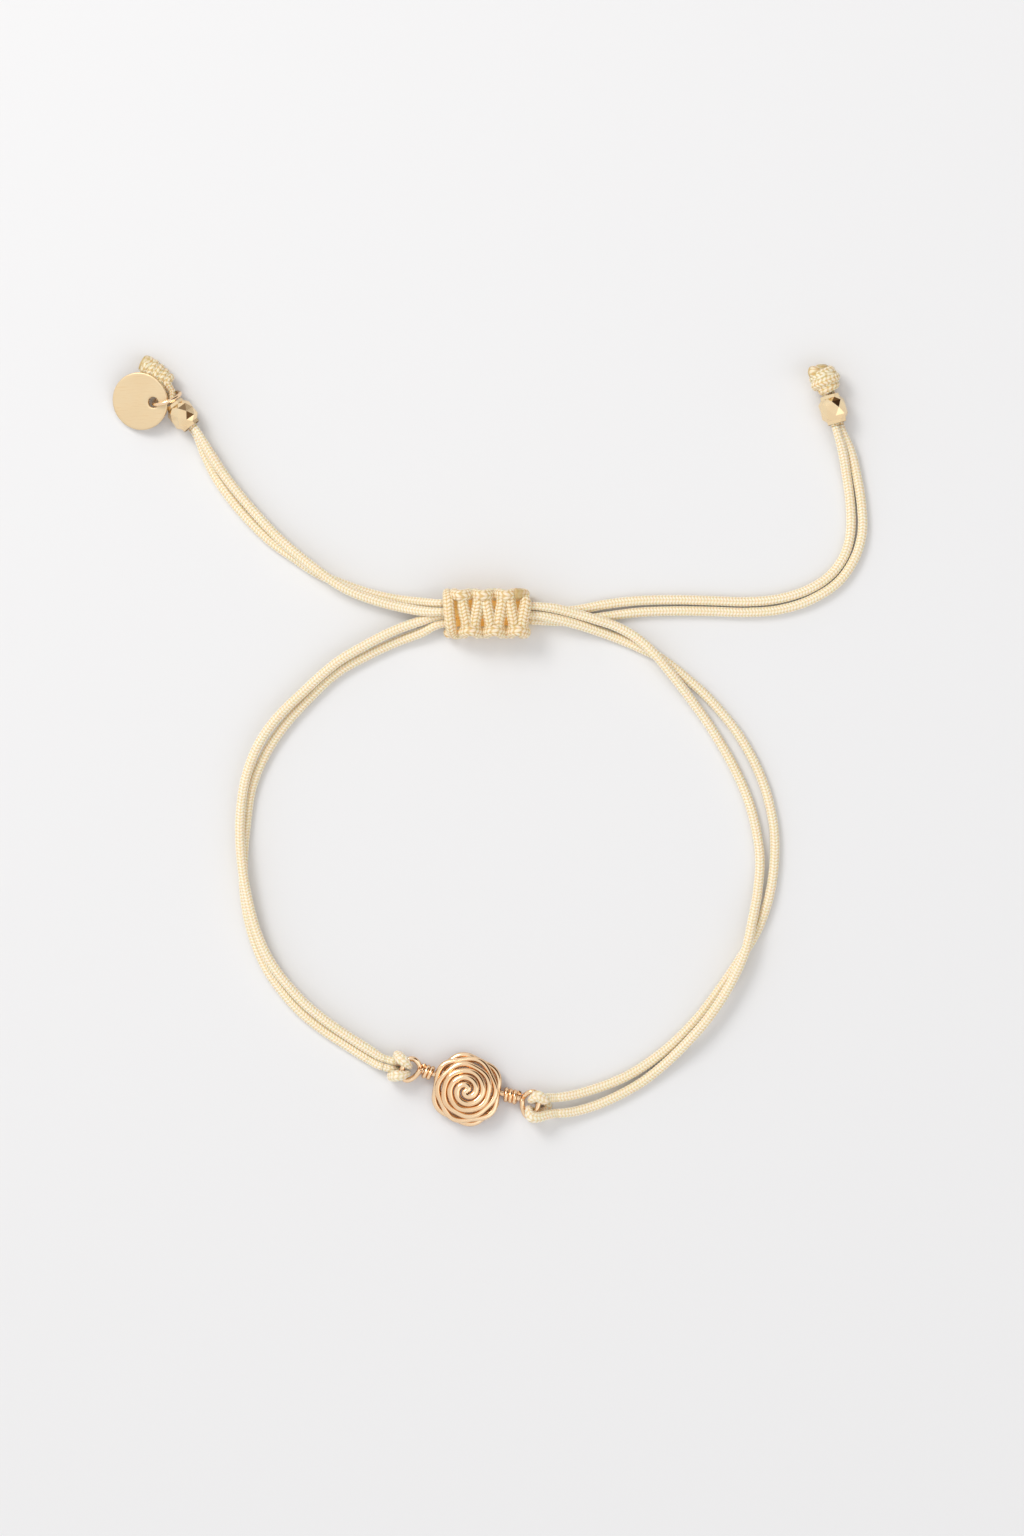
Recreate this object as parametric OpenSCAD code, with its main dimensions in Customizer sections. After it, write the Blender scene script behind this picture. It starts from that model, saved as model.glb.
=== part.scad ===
// Adjustable cord bracelet with a wound wire rose, lying open on a flat surface.
// Millimetres. Z is up, the surface is z = 0, and the origin is the middle of the loop.

/* [Cord] */
// Diameter of the braided cord
cord_d = 1.05; // [0.95:0.01:1.05]
// Diameter of the cord where the sliding knot squeezes it
core_d = 0.88; // [0.7:0.02:0.88]
// Diameter of the cord where a bead squeezes it
bead_cord_d = 0.84; // [0.6:0.02:0.84]

/* [Wire rose] */
// Diameter of the wire that the rose is wound from
rose_wire_d = 0.68; // [0.6:0.01:0.68]
// Diameter of the wire of the eyes
wire_d = 0.56; // [0.5:0.02:0.56]
// Radius from the eye of the rose to the middle of its outermost wire
rose_r = 3.4; // [3.38:0.01:3.44]
// Height of the eye of the rose above its rim
rose_dome = 1.7; // [1.6:0.1:1.8]
// Depth of the petal lobes, as a share of the radius
rose_lobe = 0.055; // [0.03:0.005:0.055]
// Turns of wire wrapped round the right neck, one more than round the left
coil_turns = 3; // [2:1:3]

/* [Beads] */
// Diameter of a bead
bead_d = 2.96; // [2.9:0.02:2.96]
// Length of a bead along its cords
bead_len = 3.1; // [2.9:0.05:3.2]
// Diameter of the hole through a bead
bead_bore = 1.9; // [1.8:0.02:1.95]

/* [Tag] */
// Diameter of the disc tag
tag_d = 6.2; // [5.8:0.1:6.4]
// Thickness of the disc tag
tag_t = 0.36; // [0.3:0.02:0.38]
// Diameter of the hole in the tag
tag_hole = 1.16; // [1.12:0.02:1.2]
// Middle radius of the jump ring
ring_r = 1.5; // [1.48:0.01:1.51]
// Diameter of the jump ring's wire
ring_wire = 0.42; // [0.36:0.02:0.42]

/* [Sliding knot] */
// Diameter of the knotting cord
knot_cord_d = 0.98; // [0.9:0.02:0.98]
// Distance from one crossing of the knot to the next
knot_pitch = 1.26; // [1.2:0.02:1.3]
// Crossings that the knot has after its first wrap
knot_bars = 6; // [4:2:6]

/* [Hidden] */

cord_r = cord_d / 2;
wire_r = wire_d / 2;
rose_wire_r = rose_wire_d / 2;
core_r = core_d / 2;
bead_cord_r = bead_cord_d / 2;
knot_r = knot_cord_d / 2;
lay = cord_r;           // height of a cord's middle where it lies on the surface
cord_sides = 8;
wire_sides = 6;
ring_step = 2.7;        // distance between the rings of a free strand
joint_gap = 0.02;       // gap where two lengths of cord meet end to end
slice = 0.03;           // thickness of the slices that a knotted cord is joined from

cream = [0.96, 0.89, 0.72];
gold = [0.96, 0.78, 0.55];
pale_gold = [0.95, 0.84, 0.62];

// Curves

function unit(v) = v / norm(v);
function place(p) = [p.x, p.y, p.z];
function reversed(list) = [for (i = [len(list) - 1 : -1 : 0]) list[i]];

// Value at share t of the curve from b to c, with a and d as the rows beside them.
function curve_row(a, b, c, d, t) =
    0.5 * (2 * b + (c - a) * t + (2 * a - 5 * b + 4 * c - d) * t * t
        + (3 * b - a - 3 * c + d) * t * t * t);

// No part of a round row goes under the surface.
function above_floor(row) = [row.x, row.y, max(row.z, row[3]), row[3]];

// Rows [x, y, z, radius] of a smooth curve through the given ones, with a row about every step.
function smooth(rows, start_dir, end_dir, step) =
    let (last = len(rows) - 1,
         first_len = norm(place(rows[1]) - place(rows[0])),
         last_len = norm(place(rows[last]) - place(rows[last - 1])),
         before = rows[1] - 2 * first_len * concat(unit(start_dir), 0),
         after = rows[last - 1] + 2 * last_len * concat(unit(end_dir), 0),
         all = concat([before], rows, [after]))
    concat(
        [for (i = [0 : last - 1])
            let (steps = max(1, round(norm(place(rows[i + 1]) - place(rows[i])) / step)))
            for (k = [0 : steps - 1])
                above_floor(curve_row(all[i], all[i + 1], all[i + 2], all[i + 3], k / steps))],
        [rows[last]]);

// Directions along a path, whose two ends may be given.
function directions(path, start_dir, end_dir) =
    let (last = len(path) - 1)
    [for (i = [0 : last])
        i == 0 && !is_undef(start_dir) ? unit(start_dir)
        : i == last && !is_undef(end_dir) ? unit(end_dir)
        : unit(place(path[min(i + 1, last)]) - place(path[max(i - 1, 0)]))];

// Turns v the least it takes to stand square to the direction t.
function square_to(v, t) = unit(v - (v * t) * t);

// Side directions that follow the path and never twist about it.
function sides_along(dirs, first) =
    [for (i = 0, s = square_to(first, dirs[0]); i < len(dirs);
          i = i + 1, s = i < len(dirs) ? square_to(s, dirs[i]) : s) s];

// Round tube along rows of [x, y, z, radius].
module tube(path, sides, first = [0, 0, 1], start_dir = undef, end_dir = undef) {
    along = directions(path, start_dir, end_dir);
    side = sides_along(along, first);
    last = len(path) - 1;
    points = [for (i = [0 : last])
        let (other = cross(along[i], side[i]))
        for (k = [0 : sides - 1])
            let (a = 360 * k / sides)
            place(path[i]) + path[i][3] * (cos(a) * side[i] + sin(a) * other)];
    walls = [for (i = [0 : last - 1], k = [0 : sides - 1])
        let (a = i * sides + k, b = i * sides + (k + 1) % sides)
        each [[a, a + sides, b + sides], [a, b + sides, b]]];
    caps = [[for (k = [0 : sides - 1]) k],
            [for (k = [sides - 1 : -1 : 0]) last * sides + k]];
    polyhedron(points = points, faces = concat(walls, caps), convexity = 10);
}

// Cord as short straight lengths joined end to end, for knots that press into themselves.
module knotted(path, sides) {
    along = directions(path);
    for (i = [0 : len(path) - 2]) hull() {
        knot_ring(path[i], along[i], sides);
        knot_ring(path[i + 1], along[i + 1], sides);
    }
}

module knot_ring(row, dir, sides) {
    translate(place(row)) rotate([0, acos(dir.z), atan2(dir.y, dir.x)])
        cylinder(h = slice, r = row[3], center = true, $fn = sides);
}

// Wire rose

rose_at = [-4.3, -24.9];        // the eye of the rose on the surface
rose_slope = -16;               // direction of the wire from eye to eye
neck_y = 0.6;                   // the wire passes this far above the middle of the rose
stem_z = 0.8;                   // height of the wire under the rose
rim_z = 1.68;                   // height of the rose's rim where the arms reach it
rim_drop = 0.85;                // each arm ends this far under that height
rim_spread = 0.12;              // and this much further out
rose_turns = 2.3;               // turns of an arm from the eye of the rose to its rim
rim_turns = 0.57;               // and on round the rim, outside and under the other arm
rose_growth = 0.8;              // below 1 the radius grows fastest near the eye
rose_start = 36;                // direction in which the arms leave the eye
eye_hole_r = 0.1;               // radius at which they leave it
lobe_count = 5;
lobe_at = 80;
left_arm_cut = 0.034;           // the left arm stops this much of a turn short of the neck
rose_steps = 18;                // rings in one turn of the rose

module in_rose_frame() translate([rose_at.x, rose_at.y, 0]) rotate(rose_slope) children();

// One arm of the rose. Its radius grows in lobes while its height falls, and it dips under the
// other arm at the rim. Side is 1 for the arm that ends at the right neck and -1 for the left.
function rose_arm(side, turns) =
    [for (i = [1 : round(turns * rose_steps)])
        let (turn = i / rose_steps, a = 360 * turn + rose_start,
             share = min(1, turn / rose_turns), late = max(0, (turn - rose_turns) / rim_turns),
             lobed = 1 + rose_lobe * share * share * cos(lobe_count * (a - lobe_at)),
             grown = eye_hole_r + (rose_r - eye_hole_r) * pow(share, rose_growth),
             r = grown * lobed + rim_spread * late,
             z = rim_z + rose_dome * (1 - share * share) - rim_drop * late)
        [side * r * cos(a), side * r * sin(a), z, rose_wire_r]];

module wire_rose() {
    turns = rose_turns + rim_turns;
    middle = [[0, 0, rim_z + rose_dome, rose_wire_r]];
    left = rose_arm(-1, turns - left_arm_cut);
    color(gold) in_rose_frame()
        tube(concat(reversed(left), middle, rose_arm(1, turns)), wire_sides);
}

// Eyes at the ends of the wire, drops with their tips at the necks:
// [x, y, half length, half width] of the middle of the wire.
left_eye = [-6.3, 0.3, 0.94, 1.35];
right_eye = [6.9, 0.3, 0.9, 1.55];
eye_tip = 0.45;                 // how sharply an eye narrows to its neck
eye_z = 1.2;
eye_start = [15, 12];           // angles at which the stem enters the left and the right eye
eye_turn = 350;                 // the wire then turns this far round the eye
eye_end_z = 1.44;               // and ends at this height, over where it entered
stem_ends = [-5.1, 5.6];        // the stem is straight from the one to the other
stem_steps = 3;

// Ring of an eye from the stem round to over it. Toward is 1 at the right and -1 at the left.
function eye_ring(eye, toward) =
    [for (i = [0 : 16])
        let (a = (toward < 0 ? eye_start[0] : eye_start[1]) + eye_turn * i / 16,
             rise = (eye_z - stem_z) * min(1, i / 3),
             last = (eye_end_z - eye_z) * max(0, (i - 13) / 3),
             middle = eye[1] + (neck_y - eye[1]) * pow((1 + cos(a)) / 2, 2),
             wide = eye[3] * pow(abs(sin(a / 2)), eye_tip))
        [eye[0] - toward * eye[2] * cos(a), middle + wide * sin(a), stem_z + rise + last,
         wire_r]];

module eyelet_wire() {
    stem = [for (i = [0 : stem_steps])
        [stem_ends[0] + (stem_ends[1] - stem_ends[0]) * i / stem_steps, neck_y, stem_z, wire_r]];
    path = concat(reversed(eye_ring(left_eye, -1)), stem, eye_ring(right_eye, 1));
    color(gold) in_rose_frame() tube(path, wire_sides);
}

left_coil_start = 4.08;         // the first wraps' distances from the middle of the rose
right_coil_start = 4.08;
coil_wire_r = wire_r * 0.86;
coil_lead = 0.48;               // advance of one turn
coil_r = wire_r + coil_wire_r + 0.03;

// Wire wrapped round the stem. Toward is 1 at the right and -1 at the left.
module coil(toward, start, turns) {
    path = [for (i = [0 : turns * 10])
        [toward * (start + coil_lead * i / 10), neck_y + coil_r * cos(36 * i),
         stem_z + coil_r * sin(36 * i), coil_wire_r]];
    color(gold) in_rose_frame() tube(path, wire_sides, [0, 1, 0]);
}
module left_coil() coil(-1, left_coil_start, coil_turns - 1);
module right_coil() coil(1, right_coil_start, coil_turns);

// Cord hitches

// Half of the run of a doubled cord through an eye, up to the middle of its bight:
// u away from the rose from the eye's outer wire, v across, z above the surface, radius.
left_hitch_run = [
    [2.0, 0.45, 1.25, 0.42],
    [1.15, 0.43, 1.28, 0.4],
    [0.6, 0.42, 0.72, 0.37],
    [-0.1, 0.4, 0.32, 0.31],
    [-0.7, 0.35, 1.1, 0.28],
    [-0.58, 0.48, 1.9, 0.38],
    [-0.12, 0.74, 2.2, 0.54],
    [0.35, 0.92, 2.1, 0.6],
    [0.78, 1.15, 1.5, 0.54],
    [0.95, 1.12, 0.75, 0.42],
    [0.9, 0.6, 0.41, 0.4],
    [0.9, 0.0, 0.41, 0.4]];
right_hitch_run = [
    [2.0, 0.85, 1.2, 0.5],
    [1.1, 0.9, 1.6, 0.5],
    [0.4, 1.0, 2.05, 0.56],
    [-0.35, 1.1, 2.2, 0.64],
    [-0.86, 0.6, 1.97, 0.4],
    [-0.78, 0.41, 1.2, 0.32],
    [-0.1, 0.6, 0.35, 0.34],
    [0.8, 0.45, 0.45, 0.44],
    [1.1, 0.0, 0.45, 0.44]];
left_bar = [-7.24, 0.3];        // the eyes' outer wires, in the rose's frame
right_bar = [7.8, 0.3];
left_leave = 164;               // directions in which the cords leave the eyes
right_leave = 4;

function turned(v, a) = [v.x * cos(a) - v.y * sin(a), v.x * sin(a) + v.y * cos(a)];
function bar_place(bar) = rose_at + turned(bar, rose_slope);
function hitch_row(row, bar, leave, side) =
    let (along = row[0] > 0.5 ? leave : rose_slope + (bar.x < 0 ? 180 : 0),
         p = bar_place(bar) + turned([row[0], side * row[1]], along))
    [p.x, p.y, row[2], row[3]];
function leave_dir(leave) = [cos(leave), sin(leave), 0];

module hitch(run, bar, leave) {
    half = [for (row = run) hitch_row(row, bar, leave, 1)];
    other = [for (i = [len(run) - 2 : -1 : 0]) hitch_row(run[i], bar, leave, -1)];
    path = smooth(concat(half, other), -leave_dir(leave), leave_dir(leave), 0.5);
    color(cream) tube(path, cord_sides, [0, 0, 1], -leave_dir(leave), leave_dir(leave));
}
module left_hitch() hitch(left_hitch_run, left_bar, left_leave);
module right_hitch() hitch(right_hitch_run, right_bar, right_leave);

// End of a strand against its hitch, on side 1 or -1 across it.
function hitch_end(run, bar, leave, side) =
    hitch_row(run[0] + [joint_gap, 0, 0, 0], bar, leave, side);

// Strands of the loop, from the far face of the sliding knot through it and round to the hitch

knot_left = -6.9;               // the knot's faces
knot_right = 2.5;
low = 1.46;                     // heights of the two layers of cord inside the knot
high = 2.33;
east = [1, 0, 0];

left_over_run = [
    // x, y, z, radius
    [knot_right, 26.2, low, core_r],
    [-2.2, 26, low, core_r],
    [knot_left, 25.7, low, core_r],
    [-9.2, 25.1, 1.45, cord_r],
    [-12, 24.1, 1.4, cord_r],
    [-15, 22.6, 1.35, cord_r],
    [-18.3, 20.6, 1.3, cord_r],
    [-21.8, 17.5, 1.3, cord_r],
    [-24.7, 14.6, 1.35, cord_r],
    [-26.7, 11.6, 1.4, cord_r],
    [-28, 7.9, 1.4, cord_r],
    [-28.5, 3.5, 1.45, cord_r],
    [-28.3, -0.8, 1.6, cord_r],
    [-27.6, -4.8, 1.6, cord_r],
    [-26.6, -8.4, 1.5, cord_r],
    [-24.9, -11.8, 1.4, cord_r],
    [-22.2, -15.1, 1.3, cord_r],
    [-19.7, -17.3, 1.3, cord_r],
    [-17, -19.2, 1.25, cord_r],
    [-14.8, -20.6, 1.2, cord_r],
    hitch_end(left_hitch_run, left_bar, left_leave, -1)];

left_under_run = [
    [knot_right, 25.15, low, core_r],
    [-2.2, 25, low, core_r],
    [knot_left, 24.8, low, core_r],
    [-9.2, 23.85, 0.9, cord_r],
    [-12, 22.8, lay, cord_r],
    [-15, 21.4, lay, cord_r],
    [-18.3, 19.5, lay, cord_r],
    [-21.4, 16.6, lay, cord_r],
    [-23.9, 13.8, lay, cord_r],
    [-25.9, 10.7, lay, cord_r],
    [-27.3, 7.2, lay, cord_r],
    [-27.9, 3.2, lay, cord_r],
    [-28.2, -0.8, lay, cord_r],
    [-28, -4.6, lay, cord_r],
    [-27.2, -8.4, lay, cord_r],
    [-25.6, -12.2, lay, cord_r],
    [-22.9, -15.8, lay, cord_r],
    [-20.2, -18.2, lay, cord_r],
    [-17.2, -20.2, lay, cord_r],
    [-14.8, -21.7, lay, cord_r],
    hitch_end(left_hitch_run, left_bar, left_leave, 1)];

right_over_run = [
    [knot_left, 26.98, 1.9, core_r],
    [-2.2, 26.85, 2.15, core_r],
    [knot_right, 26.7, 2.28, core_r],
    [5, 26.45, 2.05, cord_r],
    [7.4, 25.85, 1.7, cord_r],
    [9.5, 25.25, 1.62, cord_r],
    [11.6, 24.55, 1.4, cord_r],
    [13.7, 23.4, 1.4, cord_r],
    [15.7, 21.65, 1.62, cord_r],
    [17.5, 19.5, 1.4, cord_r],
    [19.6, 16.8, 0.9, cord_r],
    [22, 13.4, lay, cord_r],
    [24.4, 9.2, lay, cord_r],
    [26.1, 5, lay, cord_r],
    [27, 0.3, lay, cord_r],
    [26.8, -3.6, 0.8, cord_r],
    [26.2, -6.8, 1.4, cord_r],
    [25.4, -10.2, 1.62, cord_r],
    [23.7, -13.9, 1.62, cord_r],
    [21.7, -17, 1.55, cord_r],
    [19.6, -19.5, 1.35, cord_r],
    [17, -22.1, 0.8, cord_r],
    [14.2, -24.3, lay, cord_r],
    [10.6, -26.2, lay, cord_r],
    [7.6, -27.2, 0.7, cord_r],
    hitch_end(right_hitch_run, right_bar, right_leave, -1)];

right_under_run = [
    [knot_left, 26.06, high, core_r],
    [-2.2, 25.9, high, core_r],
    [knot_right, 25.75, high, core_r],
    [5, 25.35, 1.95, cord_r],
    [7.4, 24.75, 1.5, cord_r],
    [9.5, 24.1, 0.95, cord_r],
    [11.6, 23.35, lay, cord_r],
    [13.9, 22.4, lay, cord_r],
    [16.5, 21.1, lay, cord_r],
    [19.1, 19.1, lay, cord_r],
    [22, 16.4, lay, cord_r],
    [25, 12.6, lay, cord_r],
    [27.2, 8.3, lay, cord_r],
    [28.4, 3.9, lay, cord_r],
    [28.6, 0, lay, cord_r],
    [28.1, -4, lay, cord_r],
    [26.9, -7.6, lay, cord_r],
    [25.1, -10.7, lay, cord_r],
    [22.9, -14, lay, cord_r],
    [20.4, -17.3, lay, cord_r],
    [17.2, -20.5, lay, cord_r],
    [13.2, -23.3, lay, cord_r],
    [9, -25, 0.6, cord_r],
    hitch_end(right_hitch_run, right_bar, right_leave, 1)];

module loop_strand(run, start_dir, leave) {
    path = smooth(run, start_dir, -leave_dir(leave), ring_step);
    color(cream) tube(path, cord_sides, [0, 0, 1], start_dir, -leave_dir(leave));
}
module left_over_strand() loop_strand(left_over_run, -east, left_leave);
module left_under_strand() loop_strand(left_under_run, -east, left_leave);
module right_over_strand() loop_strand(right_over_run, east, right_leave);
module right_under_strand() loop_strand(right_under_run, east, right_leave);

// Beads, and the frames along their holes

bead_z = bead_d / 2 + 0.02;
left_bead_at = [-34.6, 47.1];
right_bead_at = [34.8, 47.7];
left_bead_dir = 128;            // direction from the bead's mouth to its end knot
right_bead_dir = 106;
mouth = bead_len / 2 + 0.3;     // a tail ends this far from the middle of its bead

// Place in a bead's frame: s along the hole to the end knot, n across it, z above the surface.
function bead_place(at, dir, s, n) = at + turned([s, n], dir);
function tail_end(at, dir, n, z) =
    let (p = bead_place(at, dir, -mouth, n)) [p.x, p.y, z, bead_cord_r];
function flat_dir(a) = [cos(a), sin(a), 0];

module bead(at, dir) {
    radius = bead_d / 2;
    color(pale_gold) translate([at.x, at.y, bead_z]) rotate(dir) rotate([0, 90, 0])
        difference() {
            rotate(22.5) bead_body(radius);
            translate([0, 0, -bead_len]) cylinder(h = 2 * bead_len, d = bead_bore, $fn = 32);
        }
}

// Facet rows of a bead, as [share of half the length, share of the radius, turn in degrees].
bead_rows = [[-1, 0.72, 0], [-0.78, 0.74, 0], [-0.5, 0.95, 22.5], [0, 1, 0],
    [0.5, 0.95, 22.5], [0.78, 0.74, 0], [1, 0.72, 0]];

module bead_body(radius) {
    sides = 8;
    points = [for (row = bead_rows, k = [0 : sides - 1])
        let (a = 360 * k / sides + row[2])
        [radius * row[1] * cos(a), radius * row[1] * sin(a), row[0] * bead_len / 2]];
    last = len(bead_rows) - 1;
    walls = [for (i = [0 : last - 1], k = [0 : sides - 1])
        let (a = i * sides + k, b = i * sides + (k + 1) % sides,
             ahead = bead_rows[i + 1][2] > bead_rows[i][2])
        each (ahead
            ? [[a, a + sides, b], [b, a + sides, b + sides]]
            : [[a, a + sides, b + sides], [a, b + sides, b]])];
    caps = [[for (k = [0 : sides - 1]) k], [for (k = [sides - 1 : -1 : 0]) last * sides + k]];
    polyhedron(points = points, faces = concat(walls, caps));
}

module left_bead() bead(left_bead_at, left_bead_dir);
module right_bead() bead(right_bead_at, right_bead_dir);

// Tails, from the sliding knot to the beads

left_tail_over_run = [
    [knot_left - joint_gap, 26.06, high, core_r],
    [-9, 26.15, 1.95, cord_r],
    [-11.5, 26.6, 1.4, cord_r],
    [-14.3, 27.35, 1.4, cord_r],
    [-17, 28.4, 1.55, cord_r],
    [-19.4, 29.9, 1.6, cord_r],
    [-22, 31.9, 1.5, cord_r],
    [-24.3, 33.9, 1.25, cord_r],
    [-26.4, 36.1, 1.15, cord_r],
    [-28.3, 38.3, 1.15, cord_r],
    [-30.1, 40.6, 1.3, cord_r],
    [-31.6, 42.9, 1.65, cord_r],
    tail_end(left_bead_at, left_bead_dir, -0.12, bead_z + 0.41)];

left_tail_under_run = [
    [knot_left - joint_gap, 26.98, 1.9, core_r],
    [-9, 27.1, 1.1, cord_r],
    [-11.5, 27.4, lay, cord_r],
    [-14.2, 27.95, lay, cord_r],
    [-17.2, 28.95, lay, cord_r],
    [-20.2, 30.2, lay, cord_r],
    [-22.8, 31.9, lay, cord_r],
    [-25.2, 33.6, lay, cord_r],
    [-27.4, 35.7, lay, cord_r],
    [-29.3, 37.9, lay, cord_r],
    [-31, 40.3, lay, cord_r],
    [-32.2, 42.7, 0.65, cord_r],
    tail_end(left_bead_at, left_bead_dir, 0.12, bead_z - 0.43)];

right_tail_inner_run = [
    [knot_right + joint_gap, 26.2, low, core_r],
    [5, 26.2, 0.8, cord_r],
    [7.4, 26.3, lay, cord_r],
    [10.5, 26.9, lay, cord_r],
    [14, 27.3, lay, cord_r],
    [18, 27.4, lay, cord_r],
    [22, 27.3, lay, cord_r],
    [25.7, 27.2, lay, cord_r],
    [29, 27.5, lay, cord_r],
    [32, 28.4, lay, cord_r],
    [34.4, 29.9, lay, cord_r],
    [36, 32, lay, cord_r],
    [36.7, 34.5, lay, cord_r],
    [36.7, 37.5, lay, cord_r],
    [36.3, 40.6, 0.7, cord_r],
    [35.8, 43.3, 1.3, cord_r],
    tail_end(right_bead_at, right_bead_dir, 0.31, bead_z + 0.32)];

right_tail_outer_run = [
    [knot_right + joint_gap, 25.15, low, core_r],
    [5, 25.1, 0.8, cord_r],
    [7.4, 25.15, lay, cord_r],
    [10.5, 25.6, lay, cord_r],
    [14, 26.05, lay, cord_r],
    [18, 26.2, lay, cord_r],
    [22, 26.15, lay, cord_r],
    [25.7, 26.05, lay, cord_r],
    [29.2, 26.35, lay, cord_r],
    [32.5, 27.4, lay, cord_r],
    [35.3, 29.2, lay, cord_r],
    [37.1, 31.7, lay, cord_r],
    [37.95, 34.5, lay, cord_r],
    [37.9, 37.5, lay, cord_r],
    [37.4, 40.6, lay, cord_r],
    [36.7, 43.3, 0.75, cord_r],
    tail_end(right_bead_at, right_bead_dir, -0.31, bead_z - 0.32)];

module tail(run, start_dir, bead_dir) {
    path = smooth(run, start_dir, flat_dir(bead_dir), ring_step);
    color(cream) tube(path, cord_sides, [0, 0, 1], start_dir, flat_dir(bead_dir));
}
module left_tail_over() tail(left_tail_over_run, -east, left_bead_dir);
module left_tail_under() tail(left_tail_under_run, -east, left_bead_dir);
module right_tail_inner() tail(right_tail_inner_run, east, right_bead_dir);
module right_tail_outer() tail(right_tail_outer_run, east, right_bead_dir);

// Sliding knot

knot_y = 25.9;                  // middle of the cords inside the knot
bar_r = 0.66;                   // the knotting cord swells where it lies on top
arch_r = 0.6;                   // and where it arches over the sides
knot_low = knot_r;              // heights of the knotting cord under and over those cords
knot_top = high + core_r + bar_r + 0.03;
knot_side = 2.2;                // the knotting cord turns this far out at each side
first_bar = -4.5;
lean = 0.18;                    // each bar leans this far along the knot at its ends
knot_step = 1.8;                // distance between the rings of the knotting cord

function bar_x(i) = first_bar + knot_pitch * i;
function knot_row(x, y, z, r = knot_r) = [x, knot_y + y, z, r];
function is_even(i) = i % 2 == 0;

// End of bar i over one side of the cords, leaning toward its neighbour there.
function bar_end(i, side) =
    knot_row(bar_x(i) + (is_even(i) ? -1 : 1) * lean * side, side * 1.15, knot_top - 0.15, arch_r);

// Bar i of the upper cord. Even bars run to the far side, odd ones back.
function upper_bar(i) =
    let (side = is_even(i) ? -1 : 1)
    [bar_end(i, side), knot_row(bar_x(i), 0, knot_top, bar_r), bar_end(i, -side)];

// Turn of the upper cord outside the sides, from bar i to the next.
function upper_turn(i) =
    let (side = is_even(i) ? 1 : -1, x = bar_x(i) + knot_pitch / 2)
    [knot_row(x - 0.5, side * 1.85, knot_top - 0.8),
     knot_row(x, side * knot_side, knot_top - 1.65),
     knot_row(x + 0.5, side * 1.85, knot_top - 0.8)];

// Bar i of the lower cord, which runs the other way, and its arch over the turn of the upper one.
function lower_bar(i) =
    let (far = is_even(i) ? -1 : 1)
    [knot_row(bar_x(i), -far * 1.4, knot_low + 0.02),
     knot_row(bar_x(i), far * 1.4, knot_low + 0.02)];
function arch(x, side) =
    [knot_row(x - 0.7, side * 2.15, 1.4), knot_row(x - 0.74, side * 2, 2.85, arch_r),
     knot_row(x, side * 1.86, knot_top + 0.2, arch_r),
     knot_row(x + 0.74, side * 2, 2.85, arch_r), knot_row(x + 0.7, side * 2.15, 1.4)];
function lower_turn(i) = arch(bar_x(i) + knot_pitch / 2, is_even(i) ? -1 : 1);

// First wrap, all the way round the cords.
first_wrap = [
    [-6.1, -2.15, 1.3, 0.49], [-6.2, -1.4, 0.5, 0.49], [-6.25, 1.1, 0.5, 0.49],
    [-6.35, 2.1, 1.4, 0.49], [-6.3, 2.0, 2.5, 0.54], [-6.22, 1.1, 3.3, 0.6],
    [-6.12, -0.2, 3.42, 0.6], [-5.98, -1.3, 3.17, 0.6], [-5.75, -2.1, 2.35, 0.54],
    [-5.2, -2.25, 1.7, 0.49], [-4.7, -2.05, 2.5, 0.49]];
first_arch_x = -4.85;

module sliding_knot() {
    lead = [for (p = first_wrap) knot_row(p.x, p.y, p.z, p[3])];
    under_lead = concat([knot_row(-5.3, -0.8, 0.5), knot_row(-5.35, 1.1, 0.5)],
        arch(first_arch_x, 1));
    end_x = bar_x(knot_bars - 1);
    upper_end = [knot_row(end_x + 0.1, -1.85, knot_top - 0.7),
        knot_row(end_x - 0.2, -knot_side, knot_top - 1.65), knot_row(end_x - 0.3, -2.0, 1.2)];
    lower_end = [knot_row(end_x + 0.1, 2.1, 1.4), knot_row(end_x + 0.1, 2.1, 2.5),
        knot_row(end_x - 0.25, 2.1, 3.15, 0.56), knot_row(end_x - 0.85, 2.05, 3.4, 0.62)];
    upper = concat(lead,
        [for (i = [0 : knot_bars - 1])
            each concat(upper_bar(i), i < knot_bars - 1 ? upper_turn(i) : [])],
        upper_end);
    lower = concat(under_lead,
        [for (i = [0 : knot_bars - 1])
            each concat(lower_bar(i), i < knot_bars - 1 ? lower_turn(i) : [])],
        lower_end);
    color(cream) {
        knotted(smooth(upper, -east, -east, knot_step), cord_sides);
        knotted(smooth(lower, east, -east, knot_step), cord_sides);
    }
}

// End knots: a doubled cord through the bead, one cord wound tightly round the other.
// Rows of s along the cords from the bead's middle, n across, z above the surface.
function end_row(at, dir, s, n, z, r) =
    let (p = bead_place(at, dir, s, n)) [p.x, p.y, z, r];

// Turns of the winding cord from s0 on, swelling from radius narrow to wide and back.
function winding(at, dir, s0, lead, turns, narrow, wide, z, start, r) =
    let (last = round(turns * 8))
    [for (i = [0 : last])
        let (a = start + 45 * i, wind = narrow + (wide - narrow) * sin(180 * i / last))
        end_row(at, dir, s0 + lead * i / 8, wind * cos(a), z + wind * sin(a), r)];

inner_end = -mouth + 2 * joint_gap;
right_wound_r = 0.55;           // radii of the winding cords, which are pressed flat and wide
left_wound_r = 0.5;
right_knot_z = 1.72;

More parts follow.
